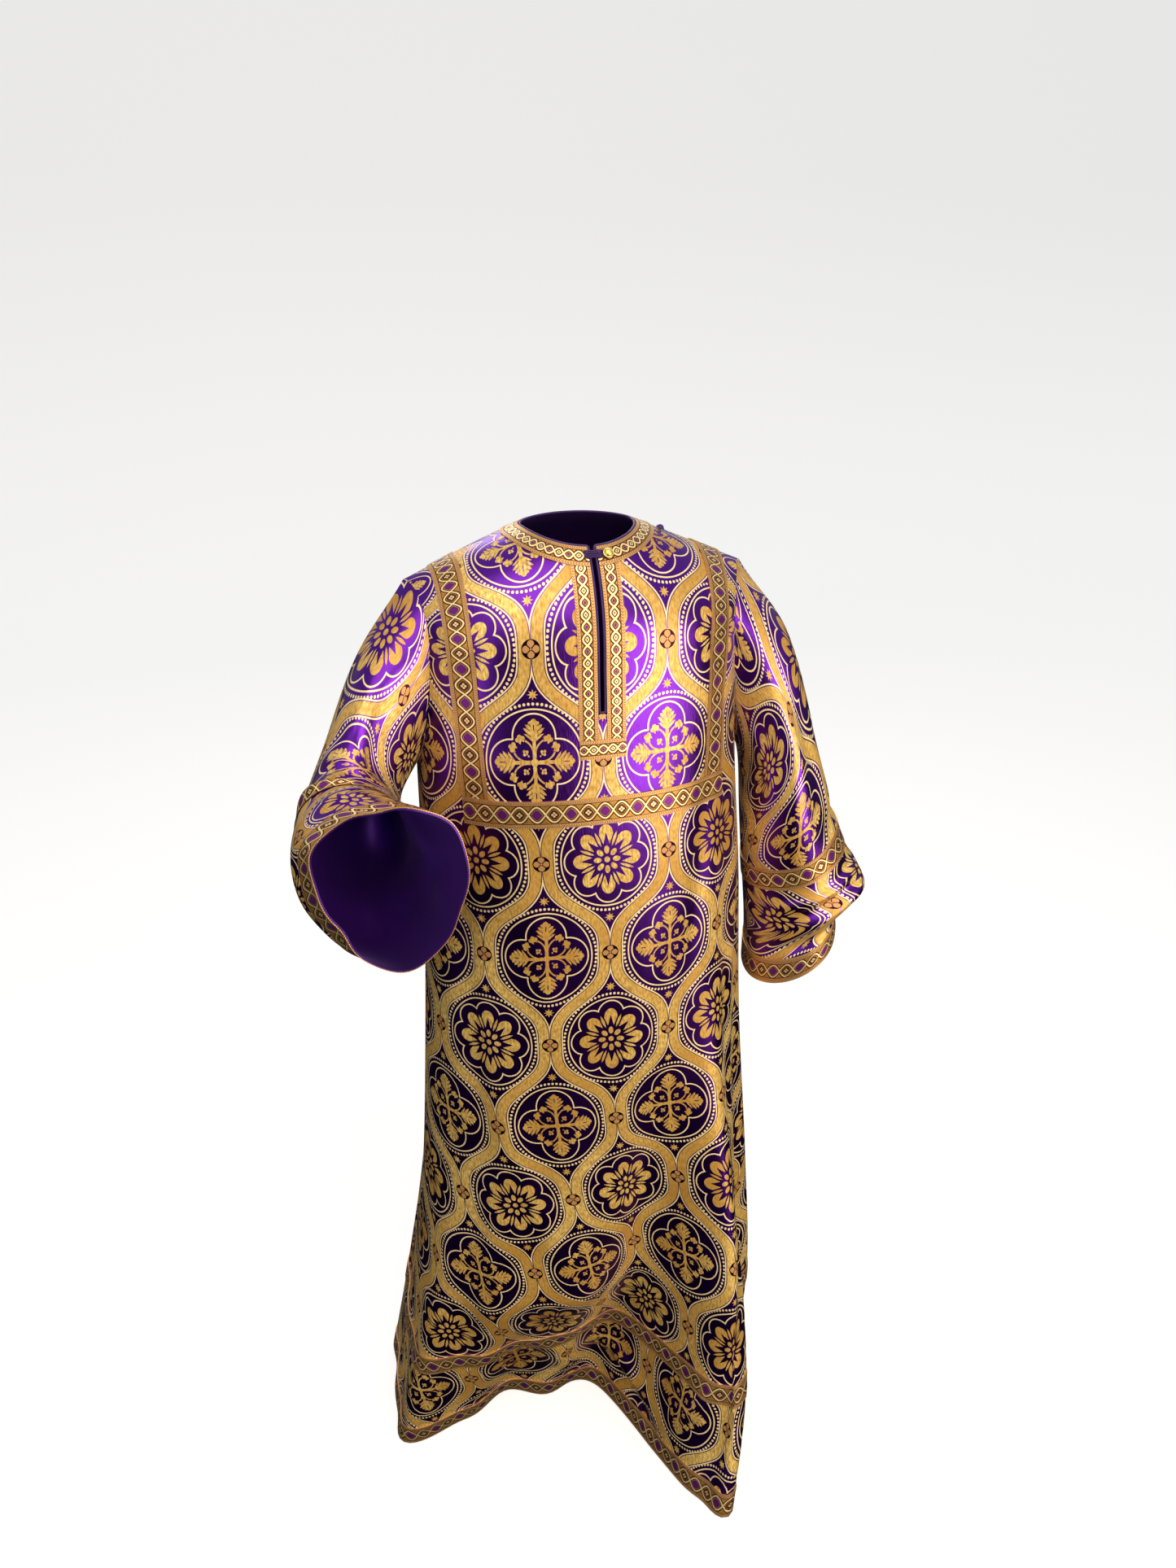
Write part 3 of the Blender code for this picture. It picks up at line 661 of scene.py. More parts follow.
def armhole(side):
    """Flat points of the armhole edge from the shoulder tip to the underarm."""
    seam = half_cut(side, UNDERARM) - SEAM_GAP / 2
    knots = ((SHOULDER_HALF, SEAM_GAP / 2), *ARMHOLE_BEND, (seam, UNDERARM))
    points = []
    for i in range(ARMHOLE_STEPS + 1):
        q = i / ARMHOLE_STEPS
        weights = ((1 - q) ** 3, 3 * q * (1 - q) ** 2, 3 * q * q * (1 - q), q**3)
        points.append(tuple(sum(w * knot[k] for w, knot in zip(weights, knots)) for k in (0, 1)))
    return points


def rows_down():
    """Distances down of the mesh rows below the underarm, with every band edge among them."""
    stops = [UNDERARM, CHEST_BAND, CHEST_BAND + WIDE, SKIRT_BAND, SKIRT_BAND + WIDE]
    return steps_between([*stops, LENGTH - WIDE, LENGTH], DOWN_STEP)


def half_outline(side):
    """Flat outline of the panel's right half, from its neckline's middle round to its hem."""
    if side == "front":
        arc = neck_arc(side, 0, slit_angle(0, SLIT_HALF), 0, NECK_STEPS)
        straight = line((SLIT_HALF, arc[0][1]), (SLIT_HALF, SLIT_END), ACROSS_STEP)
        points = [(0.0, SLIT_END)] + straight[::-1] + arc[1:]
    else:
        points = neck_arc(side, 0, math.pi / 2, 0, NECK_STEPS)
    points += line((NECK_HALF, SEAM_GAP / 2), (SHOULDER_HALF, SEAM_GAP / 2), ACROSS_STEP)[1:]
    points += armhole(side)[1:]
    points += [(half_cut(side, down) - SEAM_GAP / 2, down) for down in rows_down()[1:]]
    return points


def neck_marks(side, flat):
    """Distances along a neckline band and across it from its middle line."""
    size = np.array([NECK_HALF + NARROW / 2, NECK_DEPTH[side] + NARROW / 2])

    def middle(angle):
        return np.stack([np.cos(angle), np.sin(angle)], axis=1) * size

    across, down = (flat / size).T
    angle = np.arctan2(down, across)
    table = np.linspace(-math.pi, math.pi, 721)
    return np.stack([
        np.interp(angle, table, run_along(middle(table))),
        np.hypot(*flat.T) - np.hypot(*middle(angle).T),
    ], axis=1)


def down_marks(middle_top, middle_foot):
    """Pattern coordinates for a band that runs down between two flat points."""
    top = np.array(middle_top)
    run = np.array(middle_foot) - top
    run /= np.hypot(*run)

    def marks(flat):
        apart = flat - top
        return np.stack([apart @ run, apart @ (run[1], -run[0])], axis=1)

    return marks


def across_marks(top, width):
    """Pattern coordinates for a band that runs across, from its top edge's distance down."""

    def marks(flat):
        return np.stack([flat[:, 0], flat[:, 1] - (top + width / 2)], axis=1)

    return marks


Band = namedtuple("Band", "outline marks width")


def band_outlines(side):
    """Each galloon piece of a panel: its flat outline, its pattern coordinates and its width."""
    bands = {}

    def along_neck(flat):
        return neck_marks(side, flat)

    def both(name, outline, marks_of, width):
        for hand, sign in (("left", 1), ("right", -1)):
            shape = outline if sign == 1 else mirrored(outline)
            bands[f"{name}_{hand}"] = Band(shape, marks_of(sign), width)

    def crossing(name, half, top, width):
        edge = line((-half, top), (half, top), ACROSS_STEP)
        shape = edge + [(x, top + width) for x, y in reversed(edge)]
        bands[name] = Band(shape, across_marks(top, width), width)

    if side == "front":
        inner, outer = (
            neck_arc(side, grow, 0, slit_angle(grow, SLIT_HALF), NECK_STEPS) for grow in (0, NARROW)
        )
        both("neck_band_front", inner + outer[::-1], lambda sign: along_neck, NARROW)
        grow = NARROW + BAND_JOIN
        ends = (slit_angle(grow, offset) for offset in (SLIT_HALF, SLIT_HALF + NARROW))
        top = neck_arc(side, grow, *ends, 4)
        right = line(top[-1], (SLIT_HALF + NARROW, SLIT_FOOT), ACROSS_STEP)
        left = line((SLIT_HALF, SLIT_FOOT), top[0], ACROSS_STEP)
        middle = SLIT_HALF + NARROW / 2
        both(
            "slit_band", top + right[1:] + left[:-1],
            lambda sign: down_marks((sign * middle, 0), (sign * middle, 1)), NARROW,
        )
        crossing("slit_band_foot", SLIT_HALF + NARROW, SLIT_FOOT + BAND_JOIN, NARROW)
    else:
        inner, outer = (neck_arc(side, grow, 0, math.pi / 2, NECK_STEPS) for grow in (0, NARROW))
        far = [(-x, y) for x, y in outer]
        shape = inner + mirrored(inner)[1:] + far + mirrored(far)[1:]
        bands["neck_band_back"] = Band(shape, along_neck, NARROW)
    chest_end = CHEST_BAND - BAND_JOIN
    outside = line((YOKE_OUT_TOP, SEAM_GAP / 2), (YOKE_OUT_CHEST, chest_end), ACROSS_STEP)
    within = [(across - WIDE, down) for across, down in reversed(outside)]
    both(
        f"yoke_band_{side}", outside + within,
        lambda sign: down_marks(
            (sign * (YOKE_OUT_TOP - WIDE / 2), 0), (sign * (YOKE_OUT_CHEST - WIDE / 2), chest_end)
        ), WIDE,
    )
    crossing(f"chest_band_{side}", YOKE_OUT_CHEST, CHEST_BAND, WIDE)
    return bands


def inside_all(points, outline):
    """Which flat points lie inside a flat outline."""
    x, y = points[:, 0], points[:, 1]
    crossed = np.zeros(len(points), bool)
    for (ax, ay), (bx, by) in zip(outline, outline[1:] + outline[:1]):
        if ay == by:
            continue
        spans = (ay > y) != (by > y)
        crossed ^= spans & (x < (bx - ax) * (y - ay) / (by - ay) + ax)
    return crossed


def lay_out(side):
    """The panel's flat mesh, the faces of each band on it, and the sewn edges' flat points."""
    right = half_outline(side)
    skip = 1 if right[0][0] == 0 else 0
    edge = half_cut(side, LENGTH) - SEAM_GAP / 2
    hem = line((edge, LENGTH), (-edge, LENGTH), ACROSS_STEP)[1:-1]
    outline = right + hem + mirrored(right)[: len(right) - skip]
    bands = band_outlines(side)
    points = list(outline)
    edges = []
    for band in bands.values():
        first = len(points)
        count = len(band.outline)
        points += band.outline
        edges += [(first + i, first + (i + 1) % count) for i in range(count)]
    for down in rows_down()[1:-1]:
        half = half_cut(side, down) - SEAM_GAP / 2
        row = line((-half, down), (half, down), ACROSS_STEP)
        first = len(points)
        points += row
        if down in (SKIRT_BAND, SKIRT_BAND + WIDE, LENGTH - WIDE):
            edges += [(first + i, first + i + 1) for i in range(len(row) - 1)]
    fixed = np.array(points)
    rows = np.arange(DOWN_STEP * 0.6, UNDERARM - DOWN_STEP * 0.3, DOWN_STEP)
    places = np.arange(-30, 31) * ACROSS_STEP
    grid = np.array([(across, down) for down in rows for across in places])
    grid = grid[inside_all(grid, outline)]
    apart = fixed[fixed[:, 1] < UNDERARM + DOWN_STEP]
    near = np.array([np.hypot(*(apart - place).T).min() for place in grid])
    points += grid[near > GRID_CLEAR].tolist()
    squashed = [Vector((x, y * FLAT_SQUASH)) for x, y in points]
    face = list(range(len(outline)))
    corners, _, triangles, *_ = delaunay_2d_cdt(squashed, edges, [face], 1, 1e-6)
    flat = np.array([(corner.x, corner.y / FLAT_SQUASH) for corner in corners])
    faces = np.array(triangles)
    centres = flat[faces].mean(axis=1)
    picked = {name: faces[inside_all(centres, band.outline)] for name, band in bands.items()}
    for name, top in (("skirt", SKIRT_BAND), ("hem", LENGTH - WIDE)):
        chosen = (centres[:, 1] > top) & (centres[:, 1] < top + WIDE)
        picked[f"{name}_band_{side}"] = faces[chosen]
        bands[f"{name}_band_{side}"] = Band(None, across_marks(top, WIDE), WIDE)
    sewn = [
        (across, down) for across, down in right + mirrored(right)
        if down < LENGTH - DOWN_STEP and (down > SLIT_END or abs(across) > NECK_CLEAR)
    ]
    return flat, faces, bands, picked, np.array(sewn)


def piece(obj, node):
    """Have a finished object stand for its node on the one body."""
    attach(obj, "root")
    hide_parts(node)
    return obj


def make_panel(side, looks):
    """One body panel with its bands. Returns the panel, its bands and its flat mesh on the form."""
    flat, faces, bands, picked, sewn = lay_out(side)
    points, normals = draped(side, flat)
    points = points + normals * wrinkled(side, flat, sewn)[:, None]
    panel = wall(f"{side}_panel", "brocade", points, normals, faces, flat[faces], looks)
    made = []
    for name, band in bands.items():
        chosen = picked[name]
        slot = "narrow_galloon" if band.width == NARROW else "wide_galloon"
        marks = band.marks(flat)[chosen]
        made.append((wall(name, slot, points, normals, chosen, marks, looks), chosen))
    return panel, made, (flat, faces, points, normals)


def flat_area(flat, faces):
    """Area of a flat mesh."""
    a, b, c = flat[faces].transpose(1, 0, 2)
    (abx, aby), (acx, acy) = (b - a).T, (c - a).T
    return float(np.abs(abx * acy - aby * acx).sum() / 2)


def armhole_loop(hand):
    """Points just outside the armhole, from the shoulder tip round the front, with the panels'
    normals there and the way out of the panels."""
    turned_to = (1 if hand == "left" else -1, 1)
    loops = []
    for side in ("front", "back"):
        edge = np.array(armhole(side))
        run = unit(np.gradient(edge, axis=0))
        clear = edge + np.stack([run[:, 1], -run[:, 0]], axis=1) * SLEEVE_GAP
        points, normals = draped(side, clear * turned_to)
        loops.append((points, normals, unit(points - on_form(side, *(edge * turned_to).T))))
    return [np.vstack([front, back[-2:0:-1]]) for front, back in zip(*loops)]


def sleeve_grid(hand, stations):
    """Points and normals of a sleeve's rings, from the armhole to the mouth."""
    loop, panel_normals, out = armhole_loop(hand)
    count = len(loop)
    turn = np.arange(count) / count * 2 * math.pi
    table = np.array([(*outer, *inner, *rest) for outer, inner, *rest in SLEEVES[hand]])
    grid = []
    for station in stations:
        values = smooth(station, np.arange(len(table)), table)
        outer, inner = values[0:3], values[3:6]
        lift = math.radians(values[8])
        front = np.array([0, -math.cos(lift), math.sin(lift)])
        reach_out = np.where(np.sin(turn) > 0, values[6], values[7])
        ring = np.outer(np.cos(turn), (outer - inner) / 2)
        grid.append((outer + inner) / 2 + ring + np.outer(np.sin(turn) * reach_out, front))
    grid = np.array(grid)
    base = loop - grid[0]
    for ring, station in zip(grid, stations):
        ring += base * eased(max(0.0, 1 - station / ARMHOLE_FADE))
    around = np.roll(grid, -1, axis=1) - np.roll(grid, 1, axis=1)
    normals = unit(np.cross(np.gradient(grid, axis=0), around))
    if np.sum((grid - grid.mean(axis=1, keepdims=True)) * normals) < 0:
        normals = -normals
    rim = normals[0] + panel_normals
    rim -= out * np.maximum(0, np.sum(rim * out, axis=1))[:, None]
    normals[0] = unit(rim)
    degrees = np.degrees(turn)
    for i, station in enumerate(stations):
        for along, place, half_along, half_turn, deep in CREASES[hand]:
            apart = (degrees - place + 180) % 360 - 180
            shape = np.exp(-((apart / half_turn) ** 2) - ((station - along) / half_along) ** 2)
            grid[i] += normals[i] * (deep * min(station, 1) * shape)[:, None]
    return grid, normals


def make_sleeve(hand, looks):
    """One sleeve with the galloon round its forearm and its mouth."""
    stations = steps_between([0.0, *MID_BAND, *EDGE_BAND], SLEEVE_STEP)
    grid, normals = sleeve_grid(hand, stations)
    rings, count = grid.shape[:2]
    closed = np.concatenate([grid, grid[:, :1]], axis=1)
    girth = np.array([run_along(ring) for ring in closed])
    half = count // 2
    girth -= girth[:, half : half + 1]
    whole = girth[:, -1] - girth[:, 0]
    steps_down = np.linalg.norm(np.diff(closed, axis=0), axis=2).mean(axis=1)
    depth = np.concatenate([[0], np.cumsum(steps_down)])

    def part(node, slot, first, last, start):
        faces = []
        marks = []
        for i in range(first, last):
            for k in range(count):
                j = (k + half) % count
                corners = []
                for ring, place in ((i, j), (i, j + 1), (i + 1, j + 1), (i + 1, j)):
                    spread = girth[ring, place] + (whole[ring] if j < half else 0)
                    mark = (spread + start[0], depth[ring] + start[1])
                    corners.append((ring * count + place % count, mark))
                for three in ((0, 1, 2), (0, 2, 3)):
                    faces.append([corners[n][0] for n in three])
                    marks.append([corners[n][1] for n in three])
        return wall(node, slot, grid.reshape(-1, 3), normals.reshape(-1, 3), faces, marks, looks)

    sleeve = part(f"sleeve_{hand}", "brocade", 0, rings - 1, SLEEVE_PATTERN[hand])
    made = []
    shapes = []
    for kind, band in (("band", MID_BAND), ("edge", EDGE_BAND)):
        first, last = (int(np.argmin(np.abs(np.array(stations) - place))) for place in band)
        start = (0, -(depth[first] + depth[last]) / 2)
        obj = part(f"sleeve_{kind}_{hand}", "wide_galloon", first, last, start)
        made.append((obj, tube_cut(closed, first, last)))
        for i, toward in ((first, 1), (last, -1)):
            shapes += ring_stitches(grid[i], grid[i + toward], normals[i])
    sewing(f"sleeve_{hand}_stitches", shapes, looks["thread"])
    return (sleeve, tube_cut(closed, 0, rings - 1)), made


def tube_cut(closed, first, last):
    """Width, length and area of the flat cut of a part of a sleeve between two of its rings."""
    part = closed[first : last + 1]
    slants = np.linalg.norm(np.diff(part, axis=0), axis=2)
    steps = (slants[:, 1:] + slants[:, :-1]) / 2
    round_steps = np.linalg.norm(np.diff(part, axis=1), axis=2)
    area = float((steps * (round_steps[1:] + round_steps[:-1]) / 2).sum())
    return float(round_steps.sum(axis=1).max()), float(slants.sum(axis=0).max()), area


def arithmetic(operation, reverse=False):
    """An operator of an amount that works its two numbers out in one node."""

    def work(this, other):
        return worked_out(operation, *((other, this) if reverse else (this, other)))

    return work


class Amount:
    """A number that varies over a surface: one output of a shader node, with arithmetic."""

    def __init__(self, tree, socket):
        self.tree = tree
        self.socket = socket

    __add__ = __radd__ = arithmetic("ADD")
    __sub__ = arithmetic("SUBTRACT")
    __rsub__ = arithmetic("SUBTRACT", reverse=True)
    __mul__ = __rmul__ = arithmetic("MULTIPLY")
    __truediv__ = arithmetic("DIVIDE")

    def __abs__(self):
        return worked_out("ABSOLUTE", self)


def put(tree, value, socket):
    """Link an amount to a socket, or set the socket to a fixed value."""
    if isinstance(value, Amount):
        tree.links.new(value.socket, socket)
    else:
        socket.default_value = value


def fed(tree, kind, *values):
    """A new node of a kind with values or amounts on its first inputs."""
    node = tree.nodes.new(f"ShaderNode{kind}")
    for socket, value in zip(node.inputs, values):
        put(tree, value, socket)
    return node


def worked_out(operation, *parts, limited=False):
    """The result of one arithmetic node."""
    tree = next(part.tree for part in parts if isinstance(part, Amount))
    node = fed(tree, "Math", *parts)
    node.operation = operation
    node.use_clamp = limited
    return Amount(tree, node.outputs[0])


def largest(first, *others, operation="MAXIMUM"):
    """The largest of several amounts."""
    for other in others:
        first = worked_out(operation, first, other)
    return first


def smallest(*amounts):
    """The smallest of several amounts."""
    return largest(*amounts, operation="MINIMUM")


def quarter(x, y):
    """A place folded over its diagonal: the larger and the smaller of its parts."""
    return largest(x, y), smallest(x, y)


def eighth(s, t):
    """A place in a quarter, folded once more."""
    return largest(s, (s + t) * math.sqrt(0.5)), smallest(t, (s - t) * math.sqrt(0.5))


def folded(value, half):
    """Distance to the nearest whole multiple of twice `half`."""
    return worked_out("PINGPONG", value, half)


def spot(x, y):
    """A place made of two amounts."""
    return Amount(x.tree, fed(x.tree, "CombineXYZ", x, y).outputs[0])


def away(place, x, y):
    """Distance of a place from a fixed one."""
    node = fed(place.tree, "VectorMath", place, (x, y, 0))
    node.operation = "DISTANCE"
    return Amount(place.tree, node.outputs["Value"])


def reach(x, y):
    """Length of a way made of two amounts."""
    return away(spot(x, y), 0, 0)


def stretched(amount, steep, start, limited=True):
    """An amount times `steep` plus `start`, held between 0 and 1 where it is limited."""
    return worked_out("MULTIPLY_ADD", amount, steep, start, limited=limited)


def mask(inner):
    """1 where a signed distance is above zero and 0 where it is below, with a soft edge."""
    return stretched(inner, 0.5 / SOFT_EDGE, 0.5)


def either(flag, if_one, if_zero):
    """One of two amounts, by a flag of 1 or 0."""
    return stretched(flag, if_one - if_zero, if_zero, limited=False)


def layered(colour, *layers):
    """A colour with others laid over it in turn, each with the share it covers."""
    for over, share in layers:
        tree = share.tree
        node = fed(tree, "Mix", share)
        node.data_type = "RGBA"
        for slot, part in ((node.inputs[6], colour), (node.inputs[7], over)):
            put(tree, part if isinstance(part, Amount) else (*part, 1), slot)
        colour = Amount(tree, node.outputs[2])
    return colour


def noise(tree, coords, scale, detail, stretch=(1, 1, 1)):
    """Soft irregular variation from 0 to 1."""
    mapping = fed(tree, "Mapping", coords)
    mapping.inputs["Scale"].default_value = stretch
    node = fed(tree, "TexNoise", Amount(tree, mapping.outputs[0]))
    feed(tree, node, Scale=scale, Detail=detail)
    return Amount(tree, node.outputs[0])


def new_look(name):
    """A material with its tree and its shader."""
    material = bpy.data.materials.new(name)
    material.use_nodes = True
    tree = material.node_tree
    return material, tree, tree.nodes["Principled BSDF"]


def cloth_place(tree):
    """The cloth's flat coordinates: the place, and its parts across and down."""
    node = fed(tree, "UVMap")
    node.uv_map = "cloth"
    place = Amount(tree, node.outputs[0])
    across, down = fed(tree, "SeparateXYZ", place).outputs[:2]
    return place, Amount(tree, across), Amount(tree, down)


def object_place(tree):
    """The coordinates of the piece itself."""
    return Amount(tree, fed(tree, "TexCoord").outputs["Object"])


def raised(tree, shader, height, strength, distance):
    """Bump the shader by a height."""
    node = fed(tree, "Bump")
    feed(tree, node, Strength=strength, Distance=distance, Height=height)
    tree.links.new(node.outputs[0], shader.inputs["Normal"])


def feed(tree, node, **sockets):
    """Give a node's sockets, named with _ for a space, their amounts or fixed values."""
    for name, value in sockets.items():
        put(tree, value, node.inputs[name.replace("_", " ")])


def rosette(place8, s8, t8, r):
    """Signed distances into the scalloped outline and the eight-petalled flower in it."""
    scallop = smallest(
        SCALLOP_LINE - abs(away(place8, SCALLOP_CENTRE, 0) - SCALLOP_ROUND), r - SCALLOP_CUSP
    )
    beyond = s8 - PETAL_MIDDLE
    long = largest(beyond * (1 / PETAL_OUT), beyond * (-1 / PETAL_IN))
    petal = (1 - reach(long, t8 * (1 / PETAL_HALF))) * PETAL_HALF
    wedge = t8 - (WEDGE_TIP - s8) * WEDGE_OPEN
    turn_cos, turn_sin = math.cos(math.pi / 8), math.sin(math.pi / 8)
    s16 = s8 * turn_cos + t8 * turn_sin
    t16 = s8 * turn_sin - t8 * turn_cos
    petal = smallest(petal, wedge, s8 - PETAL_FOOT, t16 - PETAL_GAP)
    lean = (s16 - RAY_MIDDLE) * (1 / RAY_HALF_LONG)
    ray = RAY_HALF - lean * lean * RAY_HALF - t16
    bud = (1 - reach((s8 - BUD_MIDDLE) * (1 / BUD_HALF_LONG), t8 * (1 / BUD_HALF))) * BUD_HALF
    return scallop, largest(petal, ray, bud, HEART - r)


def leafy_cross(place4, s, t, r):
    """Signed distances into the quatrefoil outline and the cross of leaves and scrolls in it."""
    outline = smallest(
        SCALLOP_LINE - abs(away(place4, QUATREFOIL_CENTRE, 0) - QUATREFOIL_ROUND),
        r - QUATREFOIL_CUSP,
    )
    lean = (s - LEAF_MIDDLE) * (1 / LEAF_HALF_LONG)
    notch = folded(s - t * LOBE_LEAN - LOBE_START, LOBE_PITCH / 2)
    lobes = LOBE_DEEP + notch * (LOBE_SWELL / LOBE_PITCH)
    leaf = smallest(
        (LEAF_HALF - lean * lean * LEAF_HALF) * lobes - t,
        largest(notch - NOTCH_HALF, NOTCH_START - t),
        largest(t - RIB_HALF, RIB_START - s, s - RIB_END),
    )
    stem = largest(smallest(STEM_HALF - t, LEAF_MIDDLE - s), CROSSING - r)
    branch = smallest(
        STEM_HALF * 0.5 - abs(away(place4, *SCROLL_CENTRE) - SCROLL_ROUND),
        SCROLL_TOP - t,
        s - SCROLL_START,
    )
    buds = [size - away(place4, x, y) for x, y, size in SCROLL_BUDS]
    shape = largest(leaf, stem, branch, *buds)
    return outline, smallest(shape, away(place4, *CURL) - CURL_ROUND)


def brocade_look():
    """Violet satin with gold ogee ribbons round rosettes and leafy crosses in beaded rings."""
    material, tree, shader = new_look("brocade")
    coords, across, down = cloth_place(tree)
    x = folded(across, REPEAT_ACROSS / 2)
    y = folded(down - ROSETTE_DOWN, REPEAT_DOWN / 2)
    turn = y * (2 * math.pi / REPEAT_DOWN)
    swing = worked_out("COSINE", turn) * (math.pi / 2)
    middle = worked_out("SINE", swing) * RIBBON_SWING + REPEAT_ACROSS / 4
    steep = worked_out("COSINE", swing) * worked_out("SINE", turn)
    steep = steep * (RIBBON_SWING * math.pi**2 / REPEAT_DOWN)
    other = worked_out("GREATER_THAN", x, middle)
    beside = abs(x - middle) / worked_out("SQRT", steep * steep + 1)
    p = either(other, REPEAT_ACROSS / 2 - x, x)
    q = either(other, REPEAT_DOWN / 2 - y, y)

    ring_x = p * (RING / RING_ACROSS)
    ring_y = q * (RING / RING_DOWN)
    r = reach(ring_x, ring_y)
    angle = worked_out("ARCTAN2", ring_y, ring_x)
    bead = BEAD - reach(r - RING, folded(angle, math.pi / BEADS) * RING)
    ring_line = RING_LINE - abs(r - RING_LINE_ROUND)
    fine_ring = abs(r - RING_LINE_ROUND - RING_LINE) - FINE

    s, t = quarter(ring_x, ring_y)
    s8, t8 = eighth(s, t)
    cross_outline, cross = leafy_cross(spot(s, t), s, t, r)
    flower_outline, rose = rosette(spot(s8, t8), s8, t8, r)

    upper = worked_out("GREATER_THAN", q, REPEAT_DOWN / 4)
    knot_x = abs(p - (1 - upper) * (REPEAT_ACROSS / 2))
    knot_y = abs(q - upper * (REPEAT_DOWN / 2))
    knot_r = reach(knot_x, knot_y)
    knot_s, knot_t = quarter(knot_x, knot_y)
    petal = KNOT_PETAL - away(spot(knot_s, knot_t), KNOT_PETAL_OUT, 0)
    petal = smallest(petal, knot_s - knot_t - FINE * 2)
    flower = mask(largest(petal, KNOT_PETAL * 0.3 - knot_r))
    knot = KNOT - knot_r

    star_s, star_t = eighth(*quarter(p, abs(q - STAR_DOWN)))
    star = mask(STAR - star_s - star_t * STAR_SHARP)

    edge = RIBBON_HALF + FINE_DARK
    ribbon = mask(RIBBON_HALF - beside)
    outline = mask(largest(RIBBON_LINE - abs(beside - (edge + RIBBON_LINE)), FINE * 0.4 - abs(knot)))
    lines = largest(
        mask(smallest(ring_line, fine_ring)),
        mask(bead),
        mask(either(other, cross_outline, flower_outline)),
    )
    figure = largest(mask(either(other, cross, rose)), star)
    clear = mask(beside - edge - RIBBON_LINE * 2)

    grain = noise(tree, coords, *BROCADE_GRAIN)
    shade = noise(tree, coords, *BROCADE_SHADE)
    # Painted sheen: broad lighter and darker patches on the gold that stand in for highlights and
    # shade on the metal threads
    painted_sheen = noise(tree, coords, *BROCADE_PAINTED_SHEEN)
    painted_sheen_gold = layered(GOLD_PAINTED_SHADE, (GOLD_PAINTED_HIGHLIGHT, stretched(painted_sheen, *PAINTED_SHEEN_TONE)))
    in_knot = mask(knot)
    colour = layered(
        layered(VIOLET_DEEP, (VIOLET, shade)),
        (layered(GOLD_DEEP, (painted_sheen_gold, stretched(grain, *GOLD_TONE))), largest(figure * clear, ribbon)),
        (layered(GOLD, (CREAM, stretched(grain, *CREAM_TONE))), largest(lines * clear, outline)),
        (KNOT_DARK, in_knot),
        (COPPER, flower * in_knot),
    )
    metal = either(in_knot, flower, largest(largest(figure, lines) * clear, ribbon, outline))
    feed(
        tree, shader, Base_Color=colour,
        Roughness=stretched(metal, GOLD_ROUGH - SATIN_ROUGH, SATIN_ROUGH, limited=False),
        Metallic=stretched(metal, GOLD_METAL - SATIN_METAL, SATIN_METAL, limited=False),
        Sheen_Weight=0.01, Sheen_Roughness=0.4, Sheen_Tint=(0.55, 0.35, 0.9, 1),
    )
    threads = noise(tree, coords, *BROCADE_THREADS)
    raised(tree, shader, threads + shade * 2.0, 0.35, 0.0006)
    return material


def galloon_look(name, width, eye, rope_width):
    """Woven braid with rope edges and a two-strand guilloche whose eyes hold two motifs in turn."""
    material, tree, shader = new_look(name)
    coords, along, beside = cloth_place(tree)
    a = abs(beside)
    inner = width / 2 - rope_width
    rope = mask(a - inner)
    beside_rope = abs(a - inner - rope_width * 0.5)
    twist = folded(along + beside_rope * TWIST_LEAN, TWIST / 2)
    cord = mask(TWIST * 0.15 - twist) * mask(rope_width * 0.44 - beside_rope)
    border = mask(ROPE_LINE - abs(a - inner + ROPE_LINE * 1.5))
    field_half = inner - ROPE_LINE * 3
    swing = field_half - STRAND * 1.4
    turn = along * (math.pi / eye)
    wave = abs(worked_out("COSINE", turn)) * swing
    steep = worked_out("SINE", turn) * (swing * math.pi / eye)
    to_strand = (a - wave) / worked_out("SQRT", steep * steep + 1)
    strand = mask(STRAND - abs(to_strand))
    dark = mask(STRAND_LINE - abs(abs(to_strand) - STRAND - STRAND_LINE))
    into_eye = -1 * to_strand - STRAND - STRAND_LINE * 3
    phase = folded(along, eye)
    odd = worked_out("GREATER_THAN", phase, eye / 2)
    from_eye = either(odd, eye - phase, phase)
    eye_r = reach(from_eye, a)
    cross = EYE_PETAL - away(spot(*quarter(from_eye, a)), EYE_PETAL * 1.55, 0)
    disc = smallest(into_eye, eye * 0.30 - eye_r)
    disc_violet = smallest(into_eye, eye * 0.33 - eye_r)
    grain = noise(tree, coords, *BRAID_GRAIN)
    colour = layered(
        BRAID_DEEP,
        (BRAID, stretched(grain, *BRAID_TONE)),
        (BRAID_DARK, mask(field_half - a) * 0.10),
        (EYE_VIOLET, mask(disc_violet) * (1 - odd)),
        (BRAID_DARK, mask(disc) * odd),
        (BRAID_CREAM, mask(cross) * odd),
        (BRAID_DARK, dark),
        (BRAID_LIGHT, strand),
        (BRAID_DARK, border),
        (ROPE_ROSE, rope),
        (ROPE_DARK, rope * cord),
    )
    feed(tree, shader, Base_Color=colour, Roughness=0.40, Metallic=0.72, Sheen_Weight=0.02)
    raised(tree, shader, strand + grain * 0.4 - dark * 0.5 - rope * cord * 0.6, 0.5, 0.0004)
    return material


def satin_look(name, colour, deep, roughness, metal):
    """Plain satin with a fine twill and soft shading."""
    material, tree, shader = new_look(name)
    coords = object_place(tree)
    shade = noise(tree, coords, *SATIN_SHADE)
    threads = noise(tree, coords, *SATIN_THREADS)
    feed(
        tree, shader, Base_Color=layered(deep, (colour, shade)), Roughness=roughness,
        Metallic=metal, Sheen_Weight=0.1, Sheen_Tint=(0.5, 0.3, 0.9, 1),
    )
    raised(tree, shader, threads + shade * 1.5, 0.3, 0.0005)
    return material


